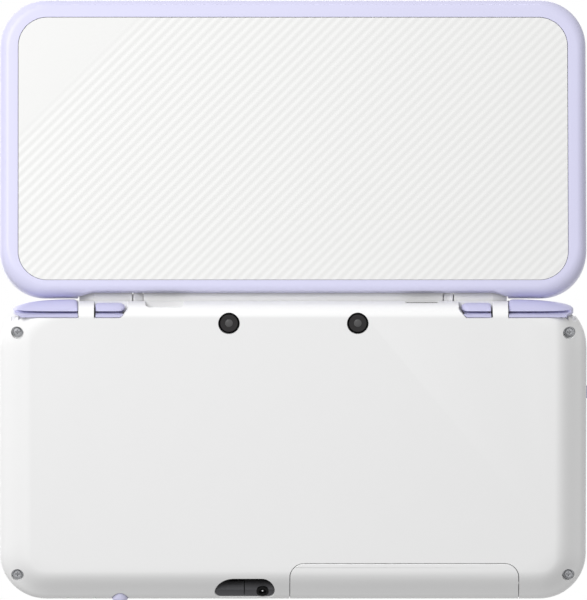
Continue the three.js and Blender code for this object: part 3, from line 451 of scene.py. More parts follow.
class Bench:
    """The modelling steps that the sub-assemblies share. Lengths are in millimetres."""

    @staticmethod
    def clear() -> None:
        """Goes to object mode with nothing selected."""
        if bpy.context.object and bpy.context.object.mode != "OBJECT":
            bpy.ops.object.mode_set(mode="OBJECT")
        bpy.ops.object.select_all(action="DESELECT")

    @staticmethod
    def only(piece: Piece) -> None:
        """Selects one piece and makes it active."""
        Bench.clear()
        piece.select_set(True)
        bpy.context.view_layer.objects.active = piece

    @staticmethod
    def edit(piece: Piece, kind: str = "VERT") -> None:
        """Opens a piece in edit mode, all of it selected, by vertex, edge or face."""
        Bench.only(piece)
        bpy.ops.object.mode_set(mode="EDIT")
        bpy.ops.mesh.select_mode(type=kind)
        bpy.ops.mesh.select_all(action="SELECT")

    @staticmethod
    def pick(piece: Piece, kind: str, wanted: Callable[..., bool]) -> None:
        """Opens a piece in edit mode with some of it selected.

        Args:
            piece: The piece.
            kind: VERT, EDGE or FACE.
            wanted: Says whether to select, of a vertex's place, an edge's two ends or a face's centre
                and normal.
        """
        Bench.edit(piece, kind)
        bpy.ops.mesh.select_all(action="DESELECT")
        bpy.ops.object.mode_set(mode="OBJECT")
        mesh = piece.data
        if kind == "VERT":
            found = [(corner, (corner.co,)) for corner in mesh.vertices]
        elif kind == "EDGE":
            found = [(edge, [mesh.vertices[end].co for end in edge.vertices]) for edge in mesh.edges]
        else:
            found = [(face, (face.center, face.normal)) for face in mesh.polygons]
        for element, traits in found:
            element.select = wanted(*traits)
        bpy.ops.object.mode_set(mode="EDIT")

    @staticmethod
    def bevel(piece: Piece, width: float, steps: int, wanted: Callable[[Vector, Vector], bool]) -> Piece:
        """Bevels the edges of a piece whose two ends are wanted and returns it."""
        Bench.pick(piece, "EDGE", wanted)
        bpy.ops.mesh.bevel(offset=width, segments=steps, affect="EDGES")
        bpy.ops.object.mode_set(mode="OBJECT")
        return piece

    @staticmethod
    def stretch(piece: Piece, kind: str, wanted: Callable[..., bool], share: Point, about: Point) -> None:
        """Resizes what is wanted of a piece, picked as in pick, by a share along each axis about a point."""
        Bench.pick(piece, kind, wanted)
        bpy.ops.transform.resize(value=share, center_override=about)
        bpy.ops.object.mode_set(mode="OBJECT")

    @staticmethod
    def paint(piece: Piece, finish: Finish, wanted: Callable[[Vector, Vector], bool]) -> None:
        """Dresses in a finish the faces of a piece whose centre and normal are wanted."""
        piece.data.materials.append(finish.material())
        Bench.pick(piece, "FACE", wanted)
        piece.active_material_index = len(piece.data.materials) - 1
        bpy.ops.object.material_slot_assign()
        bpy.ops.object.mode_set(mode="OBJECT")

    @staticmethod
    def settle(piece: Piece, turn: Sequence[float] = (0, 0, 0), place: Sequence[float] = (0, 0, 0)) -> Piece:
        """Turns and moves a piece, applies that to its mesh and returns it."""
        Bench.only(piece)
        piece.rotation_euler, piece.location = turn, place
        bpy.ops.object.transform_apply(location=True, rotation=True, scale=True)
        return piece

    @staticmethod
    def close(piece: Piece) -> Piece:
        """Merges doubles, turns every face outwards and returns the piece in object mode."""
        Bench.edit(piece)
        bpy.ops.mesh.remove_doubles(threshold=0.0005)
        bpy.ops.mesh.normals_make_consistent(inside=False)
        bpy.ops.object.mode_set(mode="OBJECT")
        return piece

    @staticmethod
    def fit(piece: Piece, x: Span, y: Span, z: Span) -> Piece:
        """Stretches a unit primitive to a box and returns it."""
        spans = (x, y, z)
        piece.scale = [high - low or 1.0 for low, high in spans]
        return Bench.settle(piece, place=[(low + high) / 2 for low, high in spans])

    @staticmethod
    def block(x: Span, y: Span, z: Span) -> Piece:
        """Adds a plain block and returns it."""
        Bench.clear()
        bpy.ops.mesh.primitive_cube_add(size=1)
        return Bench.fit(bpy.context.object, x, y, z)

    @staticmethod
    def slab(x: Span, y: Span, z: Span, radius: float, axis: int = 2, steps: int = 10) -> Piece:
        """Adds a block whose edges along one axis are rounded.

        Args:
            x: The span across.
            y: The span along.
            z: The span in height.
            radius: The radius of the rounding.
            axis: The axis that the rounded edges follow.
            steps: The faces of one rounding.

        Returns:
            The block.
        """
        piece = Bench.block(x, y, z)
        sides = [place for place in range(3) if place != axis]
        return Bench.bevel(
            piece, radius, steps, lambda a, b: all(abs(a[side] - b[side]) < 1e-4 for side in sides))

    @staticmethod
    def rod(centre: Sequence[float], radius: float, reach: Span, axis: str = "Z", steps: int = 48) -> Piece:
        """Adds a cylinder along an axis.

        Args:
            centre: A point on its axis.
            radius: Its radius.
            reach: Where it starts and ends along the axis.
            axis: X, Y or Z.
            steps: The faces round it.

        Returns:
            The cylinder.
        """
        Bench.clear()
        bpy.ops.mesh.primitive_cylinder_add(vertices=steps, radius=radius, depth=reach[1] - reach[0])
        turns = {"X": (0.0, math.pi / 2, 0.0), "Y": (math.pi / 2, 0.0, 0.0), "Z": (0.0, 0.0, 0.0)}
        middle = list(centre)
        middle["XYZ".index(axis)] = (reach[0] + reach[1]) / 2
        return Bench.settle(bpy.context.object, turns[axis], middle)

    @staticmethod
    def loft(rings: Sequence[Ring], radius: float, steps: int = 14) -> Piece:
        """Extrudes a rounded plate from ring to ring, scaling it to each.

        Args:
            rings: The outlines, from one end to the other.
            radius: The corner radius of the first one.
            steps: The faces of one corner.

        Returns:
            The closed solid.
        """
        piece = Bench.plate(rings[0], ())
        Bench.edit(piece)
        bpy.ops.mesh.bevel(offset=radius, segments=steps, affect="VERTICES")
        return Bench.raise_rings(piece, rings)

    @staticmethod
    def plate(ring: Ring, corners: Sequence[Corner]) -> Piece:
        """Adds a flat plate on a ring, with some of its corners rounded, and returns it."""
        Bench.clear()
        bpy.ops.mesh.primitive_plane_add(size=1)
        piece = Bench.fit(bpy.context.object, ring.x, ring.y, (ring.z, ring.z))
        for end, row, run_x, run_y, steps in corners:
            squeeze = run_y / run_x
            spot = Vector((ring.x[end], ring.y[row], ring.z))
            Bench.edit(piece)
            bpy.ops.transform.resize(value=(squeeze, 1, 1), center_override=spot)
            Bench.pick(piece, "VERT", lambda place: (place - spot).length < 1e-3)
            bpy.ops.mesh.bevel(offset=run_y, segments=steps, affect="VERTICES")
            bpy.ops.mesh.select_all(action="SELECT")
            bpy.ops.transform.resize(value=(1 / squeeze, 1, 1), center_override=spot)
            bpy.ops.object.mode_set(mode="OBJECT")
        return piece

    @staticmethod
    def raise_rings(piece: Piece, rings: Sequence[Ring]) -> Piece:
        """Extrudes a flat plate, which lies on the first ring, through the rings and closes it."""
        Bench.edit(piece, "FACE")
        for last, ring in zip(rings, rings[1:]):
            shift = (sum(ring.x) / 2 - sum(last.x) / 2, sum(ring.y) / 2 - sum(last.y) / 2, ring.z - last.z)
            bpy.ops.mesh.extrude_region_move(TRANSFORM_OT_translate={"value": shift})
            bpy.ops.transform.resize(
                value=((ring.x[1] - ring.x[0]) / (last.x[1] - last.x[0]),
                       (ring.y[1] - ring.y[0]) / (last.y[1] - last.y[0]), 1.0),
                center_override=(sum(ring.x) / 2, sum(ring.y) / 2, ring.z),
            )
        return Bench.close(piece)

    @staticmethod
    def turned(profile: Profile, centre: Point = (0, 0, 0), turn: Point = UPRIGHT, steps: int = 48) -> Piece:
        """Spins a profile round an axis.

        Args:
            profile: Radius and height pairs, from one end of the axis to the other.
            centre: Where the profile's zero height stands.
            turn: How the solid is turned about that place.
            steps: The faces round it.

        Returns:
            The closed solid.
        """
        Bench.clear()
        bpy.ops.mesh.primitive_plane_add(size=1)
        piece = bpy.context.object
        Bench.edit(piece)
        bpy.ops.mesh.merge(type="CENTER")
        bpy.ops.transform.translate(value=(profile[0][0], 0.0, profile[0][1]))
        for last, point in zip(profile, profile[1:]):
            step = (point[0] - last[0], 0.0, point[1] - last[1])
            bpy.ops.mesh.extrude_region_move(TRANSFORM_OT_translate={"value": step})
        bpy.ops.mesh.select_all(action="SELECT")
        bpy.ops.mesh.spin(steps=steps, angle=math.tau, center=(0, 0, 0), axis=(0, 0, 1))
        return Bench.settle(Bench.close(piece), turn, centre)

    @staticmethod
    def carve(piece: Piece, *tools: Piece, how: Cut = Cut.AWAY) -> Piece:
        """Cuts solids from a piece, or joins or intersects them with it, and uses them up.

        Args:
            piece: The piece that is worked on.
            tools: The other solids.
            how: What is done with them.

        Returns:
            The piece.
        """
        for tool in tools:
            Bench.only(piece)
            step = piece.modifiers.new("carve", "BOOLEAN")
            step.operation, step.solver, step.object = how.value, "EXACT", tool
            bpy.ops.object.modifier_apply(modifier=step.name)
            bpy.data.objects.remove(tool, do_unlink=True)
        return piece

    @staticmethod
    def ease(piece: Piece, width: float, angle: float = 40.0, steps: int = 2) -> Piece:
        """Rounds every edge sharper than an angle by a small width and returns the piece."""
        Bench.only(piece)
        step = piece.modifiers.new("ease", "BEVEL")
        step.width, step.segments = width, steps
        step.limit_method, step.angle_limit = "ANGLE", math.radians(angle)
        bpy.ops.object.modifier_apply(modifier=step.name)
        return piece

    @staticmethod
    def copy(piece: Piece, shift: Sequence[float] = (0, 0, 0), mirror: bool = False) -> Piece:
        """Copies a piece with a mesh of its own.

        Args:
            piece: The model.
            shift: How far the copy is moved.
            mirror: Whether it is flipped to the other side.

        Returns:
            The copy.
        """
        twin = piece.copy()
        twin.data = piece.data.copy()
        bpy.context.scene.collection.objects.link(twin)
        twin.scale = (-1.0 if mirror else 1.0, 1.0, 1.0)
        Bench.settle(twin, place=shift)
        return Bench.close(twin) if mirror else twin


@dataclass(frozen=True)
class Tag:
    """How a finished piece is filed: its body, the nodes that it stands for, and the name of a material slot,
    which is carried along but never given to the piece.
    """

    body: str
    slot: str
    nodes: tuple[str, ...] = ()

    def placing(self) -> Placing:
        """Returns the half of the console that the piece belongs to."""
        return Placing.LID if self.body == Placing.LID.value else Placing.BASE


def set_down(piece: Piece, name: str, tag: Tag, finish: Finish, smooth: float = 34.0) -> Piece:
    """Brings a finished piece into the frame, smooths it and dresses it.

    Args:
        piece: The piece, in the closed drawing.
        name: Its name.
        tag: How it is filed.
        finish: Its finish.
        smooth: The angle in degrees under which edges are shaded smooth.

    Returns:
        The piece.
    """
    Bench.only(piece)
    piece.name = piece.data.name = name
    piece.matrix_world = tag.placing().matrix() @ piece.matrix_world
    bpy.ops.object.transform_apply(location=True, rotation=True, scale=True)
    bpy.ops.object.shade_smooth_by_angle(angle=math.radians(smooth))
    if not piece.data.materials:
        piece.data.materials.append(finish.material())
    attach(piece, tag.body)
    if tag.nodes:
        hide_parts(*tag.nodes)
    LOG.info("%s: %d faces on %s", name, len(piece.data.polygons), tag.body)
    return piece


def set_pair(model: Piece, name: str, tag: Tag, finish: Finish) -> None:
    """Files a right-hand piece and its mirror image, then drops the model.

    Args:
        model: The piece on the right.
        name: The pieces' name, with {} for the side, as in the tag's words.
        tag: How they are filed.
        finish: Their finish.
    """
    for word, side in SIDES:
        nodes = tuple(node.format(word) for node in tag.nodes)
        filed = Tag(tag.body.format(word), tag.slot, nodes)
        set_down(Bench.copy(model, mirror=side < 0), name.format(word), filed, finish)
    bpy.data.objects.remove(model, do_unlink=True)


def arc(steps: int) -> list[float]:
    """Returns the angles of a quarter turn, from 0 up, in so many steps."""
    return [math.pi / 2 * step / steps for step in range(steps + 1)]


# The base's mouldings

@dataclass(frozen=True)
class Shell:
    """The outline that both halves' mouldings share, and how the base rolls under and over it."""

    radius: float = 13.4
    wall: float = 1.5
    parting: float = 5.2
    roll_side: float = 8.2
    roll_front: float = 9.7
    roll_rear: float = 3.2
    brow: float = 2.2
    brow_rear: float = 3.5
    straight: float = 10.3
    lip: float = 0.06

    def ring(self, side: float, front: float, rear: float, z: float) -> Ring:
        """Returns the outline drawn in by so much on the sides, at the front and at the rear."""
        return Ring((side - HALF_WIDTH, HALF_WIDTH - side), (FRONT + front, -rear), z)

    def under(self, border: float = 0.0, steps: int = 14) -> list[Ring]:
        """Returns the rings of the lower roll, from the parting line down to the underside.

        Args:
            border: How far inside the skin they lie.
            steps: The rings of the roll.

        Returns:
            The rings.
        """
        edge, below = border + self.lip, self.parting - self.lip
        rings = [self.ring(edge, edge, edge, self.parting), self.ring(border, border, border, below)]
        for angle in reversed(arc(steps)[:-1]):
            inward, height = 1 - math.sin(angle), max(border, self.parting * (1 - math.cos(angle)))
            rings.append(self.ring(
                border + self.roll_side * inward, border + self.roll_front * inward,
                border + self.roll_rear * inward, height))
            if height == border:
                break
        return rings

    def over(self, low: float, steps: int = 8) -> list[Ring]:
        """Returns the rings from a height up the straight side and over the brow to the top."""
        rings = [self.ring(self.lip, self.lip, self.lip, low), self.ring(0, 0, 0, low + self.lip)]
        for angle in arc(steps):
            inward = self.brow * (1 - math.cos(angle))
            rear = self.brow_rear * (1 - math.cos(angle))
            rings.append(self.ring(inward, inward, rear, self.straight + self.brow * math.sin(angle)))
        return rings


@dataclass(frozen=True)
class Notch:
    """The gap that the lid's rim leaves for the base's rear wall, seen from behind."""

    inner: float = 54.6
    outer: float = 58.6
    depth: float = 1.1


# Where the base's small pieces stand, which its holes follow: across and along, or across and in height
CAMERAS: Span = (17.55, -4.7)
SCREWS = ((75.2, -7.5, 2.5, "rear"), (75.2, -74.95, 3.0, "front"))
STYLUS: Span = (47.2, 4.5)
INDICATORS = (54.2, 61.3)
INDICATOR_Z = 4.2


@dataclass
class BaseCase:
    """The bottom moulding with its wells and recesses, the rim over it, and the card cover."""

    shell: Shell = Shell(radius=12.6)
    boss: float = 2.4
    boss_reach: Span = (-0.5, 5.1)
    boss_border: float = 0.3
    screw_hole: float = 1.7
    screw_depth: float = 1.05
    camera_hole: float = 2.95
    stylus_tube: float = 2.9
    stylus_hole: float = 2.55
    stylus_end: float = -12.0
    indicator_hole: float = 0.85
    wells: tuple[Box, ...] = (
        ((58.525, 74.8), (-3.22, 1), (-1, 11.5)), ((74.7, 81), (-3.22, 1), (2.1, 11.5)),
        ((58.525, 73.2), (-4.83, 1), (1.6, 11.5)), ((73.1, 75.05), (-4.83, 1), (2.2, 11.5)),
        ((73.1, 74.7), (-3.32, 1), (1.5, 4)), ((74.9, 75.6), (-3.45, 1), (2.7, 4)),
        ((74.9, 77), (-4.83, 1), (3.3, 11.5)), ((45.2, 48), (-4.4, 1.2), (3.4, 7.6)),
        ((47.15, 54.35), (-4.83, 1), (1.6, 7.7)), ((59.7, 69.8), (-9.4, 0), (3.1, 8.9)),
        ((47.15, 54.35), (-8.2, 0), (2.9, 6.9)),
    )
    trigger_well: Box = ((45.05, 54.35), (-3.22, 1), (-1, 7.7))
    trigger_chamfer: float = 2.1
    inlet_mouth: Box = ((29.9, 40.3), (-4.6, 1), (2.1, 7.6))
    inlet_radius: float = 1.6
    infrared_mouth: Box = ((-39.6, -30.6), (-2.9, 1), (5.2, 7.6))
    slider_slot: Box = ((-82, -78), (-36.1, -23.1), (6.2, 8.6))
    rim_opening: Box = ((-76.8, 76.8), (-79, -7), (-1, 20))
    rim_radius: float = 10.5
    bar_channel: float = 4.7
    flap_opening: Box = ((-78.5, 78.5), (FRONT + 1.5, -1.5), (-1, 20))
    flap_radius: float = 11.9
    flap_chamfer: float = 0.16
    card_x: Span = (-61.55, 0.75)
    card_rear: float = -71.55
    card_radius: float = 3.8
    card_top: float = 7.2
    card_gap: float = 0.2
    audio_x: Span = (5.1, 21.3)
    audio_rear: float = -75.9
    audio_top: float = 3.15
    audio_radius: float = 1.8
    audio_corners: tuple[Corner, ...] = ((0, 1, 3.4, 3.6, 12), (1, 1, 5.2, 4.2, 14))
    audio_gap: float = 0.15

    def skin(self, border: float) -> Piece:
        """Returns the solid inside the lower roll, so far in from the skin."""
        return Bench.loft(self.shell.under(border), self.shell.radius - border)

    def rear_wells(self, side: int) -> list[Piece]:
        """Returns the cuts for one side's rear buttons and their arms."""
        trigger, *others = (Bench.block(ordered(side * x[0], side * x[1]), y, z)
                            for x, y, z in (self.trigger_well, *self.wells))
        inner = self.trigger_well[0][0] + 1
        Bench.bevel(trigger, self.trigger_chamfer, 1, lambda a, b: max(abs(a.x), abs(b.x)) < inner and (
            max(a.y, b.y) < -3))
        return [others[0], trigger, *others[1:]]

    def card_window(self, gap: float) -> Piece:
        """Returns the block that the card cover fills, wider all round by a gap."""
        return Bench.slab(
            (self.card_x[0] - gap, self.card_x[1] + gap), (FRONT - 8, self.card_rear + gap),
            (-1, self.card_top + gap), self.card_radius + gap)

    def audio_window(self, gap: float) -> Piece:
        """Returns the block that the audio block fills, its rear corners well rounded, wider by a gap."""
        ring = Ring((self.audio_x[0] - gap, self.audio_x[1] + gap), (FRONT - 8, self.audio_rear + gap), -1)
        top = self.audio_top + gap
        window = Bench.plate(ring, [
            (end, row, run_x + gap, run_y + gap, steps)
            for end, row, run_x, run_y, steps in self.audio_corners])
        Bench.raise_rings(window, [ring, Ring(ring.x, ring.y, top)])
        round_top = Bench.slab(ring.x, (FRONT - 9, -70), (-6, top), self.audio_radius, axis=1)
        return Bench.carve(window, round_top, how=Cut.KEEP)

    def inlet_notch(self) -> Piece:
        """Returns the cut for the power inlet: a mouth whose lower corners are rounded."""
        return Bench.bevel(Bench.block(*self.inlet_mouth), self.inlet_radius, 6, lambda a, b: (
            max(a.z, b.z) < 3 and abs(a.x - b.x) < 1e-3))

    def bottom(self) -> None:
        """Builds the bottom moulding and files it."""
        case = self.skin(0.0)
        Bench.carve(case, self.skin(self.shell.wall))
        for x, y, *_ in SCREWS:
            for _, side in SIDES:
                boss = Bench.rod((side * x, y, 0), self.boss, self.boss_reach)
                Bench.carve(case, Bench.carve(boss, self.skin(self.boss_border), how=Cut.KEEP), how=Cut.JOIN)
        axis = (STYLUS[0], 0, STYLUS[1])
        tube = Bench.rod(axis, self.stylus_tube, (FRONT + 6.5, self.stylus_end), "Y")
        Bench.carve(case, tube, how=Cut.JOIN)
        for _, side in SIDES:
            Bench.carve(case, *self.rear_wells(side))
            Bench.carve(case, Bench.rod((side * CAMERAS[0], CAMERAS[1], 0), self.camera_hole, (-1, 4)))
            for x, y, low, _ in SCREWS:
                Bench.carve(case, Bench.rod((side * x, y, 0), self.screw_hole, (-1, low + self.screw_depth)))
        Bench.carve(case, Bench.rod(axis, self.stylus_hole, (FRONT - 2, self.stylus_end), "Y"))
        Bench.carve(case, self.card_window(self.card_gap), self.audio_window(self.audio_gap),
                    self.inlet_notch())
        Bench.carve(case, *(Bench.rod((x, 0, INDICATOR_Z), self.indicator_hole, (FRONT - 2, FRONT + 6), "Y")
                            for x in INDICATORS))
        case.data.materials.append(Finish.SHELL.material())
        # Painted shade: the stylus hole's wall near the front edge is dressed in the dark rubber finish,
        # standing in for the shadow in the gap round the pen's head.
        Bench.paint(case, Finish.RUBBER, lambda centre, normal: (
            centre.y < -70 and abs(normal.y) < 0.1
            and abs(math.hypot(centre.x - axis[0], centre.z - axis[2]) - self.stylus_hole) < 0.15))
        set_down(case, "bottom_moulding", Tag("base", "white_plastic", ("base_bottom_case",)), Finish.SHELL)

    def rim(self) -> None:
        """Builds the top moulding: the rim over the parting line, open for the deck and the hinge."""
        rim = Bench.loft(self.shell.over(self.shell.parting), self.shell.radius)
        Bench.carve(rim, Bench.slab(*self.rim_opening, self.rim_radius))
        Bench.carve(rim, Bench.rod(HINGE_LINE, self.bar_channel, (-Notch().outer, Notch().outer), "X", 64))
        for _, side in SIDES:
            Bench.carve(rim, *self.rear_wells(side))
        Bench.carve(rim, self.card_window(self.card_gap), self.inlet_notch())
        slot = Bench.slab(*self.slider_slot, 1.0, axis=0, steps=5)
        Bench.carve(rim, Bench.block(*self.infrared_mouth), slot)
        set_down(rim, "top_moulding", Tag("base", "white_plastic", ("base_top_case",)), Finish.WHITE)

    def card_flap(self) -> None:
        """Builds the cover over the game-card slot, cut from the same skin as the bottom moulding."""
        flap = self.skin(0.0)
        Bench.carve(flap, self.skin(self.shell.wall))
        upper = Bench.loft(self.shell.over(self.shell.parting), self.shell.radius)
        Bench.carve(upper, Bench.slab(*self.flap_opening, self.flap_radius))
        Bench.carve(flap, upper, how=Cut.JOIN)
        Bench.carve(flap, self.card_window(0.0), how=Cut.KEEP)
        Bench.bevel(flap, self.flap_chamfer, 1, lambda a, b: max(a.z, b.z) < 0.01 and (
            max(a.y, b.y) > self.card_rear - 0.9))
        set_down(flap, "card_flap", Tag("card_cover", "white_plastic", ("card_cover",)), Finish.SHELL)

    def build(self) -> None:
        """Builds the base's case."""
        self.bottom()
        self.rim()
        self.card_flap()


# The rear buttons

@dataclass(frozen=True)
class ButtonSkin:
    """One rear button, on the right side: its outline and how its rear face swells with height."""

    name: str
    inner: float
    outer: float
    rear: float
    profile: tuple[tuple[float, float], ...]
    corners: tuple[Corner, ...]
    inner_share: float
    outer_share: float
    arm: Box
    groove: Span
    lip: Span
    lip_corners: tuple[Corner, ...]
    front: float = -3.05

    def ring(self, height: float, inset: float) -> Ring:
        """Returns the outline at a height, the rear face drawn in by an inset."""
        return Ring(
            (self.inner + min(inset, 2.1) * self.inner_share, self.outer - inset * self.outer_share),
            (self.front, self.rear - inset), height)


SHOULDER = ButtonSkin(
    "shoulder", 58.75, 76.4, 0.5,
    ((0.4, 3.2), (0.5, 3.0), (0.75, 2.88), (1.2, 2.84), (2.3, 2.83), (2.32, 2.5), (2.36, 2.3), (2.46, 2.14),
     (2.62, 1.98), (2.9, 1.75), (3.3, 1.45), (3.9, 1.08), (4.7, 0.68), (5.6, 0.35), (6.6, 0.1), (7.6, 0.0),
     (9.0, 0.22), (10.0, 0.62), (10.5, 0.95), (10.8, 1.3), (10.9, 1.6)),
    ((1, 1, 14.0, 0.72, 16), (0, 1, 1.0, 0.3, 5), (0, 0, 0.5, 0.1, 3)), 0.0, 0.75,
    ((60.0, 69.5), (-7.6, -2.75), (3.4, 8.6)), (57.0, 78.0), (58.75, 74.5), ())
TRIGGER = ButtonSkin(
    "trigger", 45.5, 53.9, 0.2,
    ((0.4, 2.9), (0.5, 2.7), (0.75, 2.58), (1.2, 2.54), (2.3, 2.53), (2.32, 2.3), (2.36, 2.1), (2.46, 1.94),
     (2.62, 1.76), (2.9, 1.5), (3.3, 1.2), (3.9, 0.8), (4.5, 0.52), (5.1, 0.36), (5.7, 0.3), (6.3, 0.34),
     (6.9, 0.55), (7.2, 0.75), (7.4, 1.05)),
    ((0, 1, 1.5, 0.4, 5), (0, 0, 2.1, 0.45, 2), (1, 1, 0.7, 0.2, 4), (1, 0, 0.5, 0.1, 3)), 1.0, 0.0,
    ((47.6, 53.9), (-6.4, -2.75), (3.2, 6.6)), (44.0, 56.0), (46.45, 53.9), ((0, 0, 0.8, 0.8, 1),))


@dataclass
class RearButtons:
    """The outer shoulder buttons and the inner triggers: a lower lip, a crease and a full rear face."""

    skins: tuple[ButtonSkin, ...] = (SHOULDER, TRIGGER)
    groove_y: Span = (-2.4, -1.75)
    groove_z: Span = (1.6, 4.6)
    lip_z: Span = (0.45, 2.35)

    def right(self, skin: ButtonSkin) -> Piece:
        """Returns the right one of a pair: its face, and the arm that reaches into the case."""
        rings = [skin.ring(height, inset) for height, inset in skin.profile]
        depth = rings[0].y[1] - rings[0].y[0]
        face = Bench.raise_rings(Bench.plate(rings[0], [
            (end, row, run, depth * share, steps) for end, row, run, share, steps in skin.corners]), rings)
        Bench.carve(face, Bench.block(skin.groove, self.groove_y, self.groove_z))
        low, high = (Ring(skin.lip, (skin.front, self.groove_y[0]), height) for height in self.lip_z)
        lip = Bench.raise_rings(Bench.plate(low, skin.lip_corners), [low, high])
        return Bench.carve(face, lip, Bench.block(*skin.arm), how=Cut.JOIN)

    def build(self) -> None:
        """Builds and files the four buttons."""
        for skin in self.skins:
            node = f"{skin.name}_button_{{}}"
            tag = Tag(node, "lavender_plastic", (node,))
            set_pair(self.right(skin), f"{skin.name}_key_{{}}", tag, Finish.KEY)


# The hinge and the lid

@dataclass
class HingeParts:
    """The bar's centre cover, the collars beside it and the inner camera let into it."""

    radius: float = 4.2
    half: float = 40.85
    collar: Span = (41.0, 43.6)
    collar_radius: float = 4.35
    collar_foot: float = 3.4
    eye: float = 1.65
    eye_reach: Span = (2.8, 5.2)
    eye_turned: float = math.radians(-40)

    def along(self, profile: Profile) -> Piece:
        """Returns a profile of radii and places along X, spun round the hinge line."""
        return Bench.turned(profile, HINGE_LINE, (0, math.pi / 2, 0), 96)

    def build(self) -> None:
        """Builds and files the hinge's pieces."""
        radius, half = self.radius, self.half
        cover = self.along([
            (0, -half), (radius - 0.25, -half), (radius - 0.07, 0.07 - half), (radius, 0.25 - half),
            (radius, half - 0.25), (radius - 0.07, half - 0.07), (radius - 0.25, half), (0, half),
        ])
        eye = Bench.rod((0, 0, 0), self.eye, self.eye_reach, "Z", 40)
        Bench.carve(cover, Bench.settle(eye, (self.eye_turned, 0, 0), HINGE_LINE))
        set_down(cover, "hinge_bar", Tag("base", "grey_plastic", ("hinge_centre_cover",)), Finish.GREY)
        low, high = self.collar
        radius = self.collar_radius
        ring = self.along([
            (0, low), (self.collar_foot, low), (radius - 0.05, high - 0.45), (radius, high - 0.25),
            (radius - 0.15, high), (0, high),
        ])
        set_pair(ring, "collar_{}", Tag("base", "white_plastic", ("hinge_collar_{}",)), Finish.WHITE)


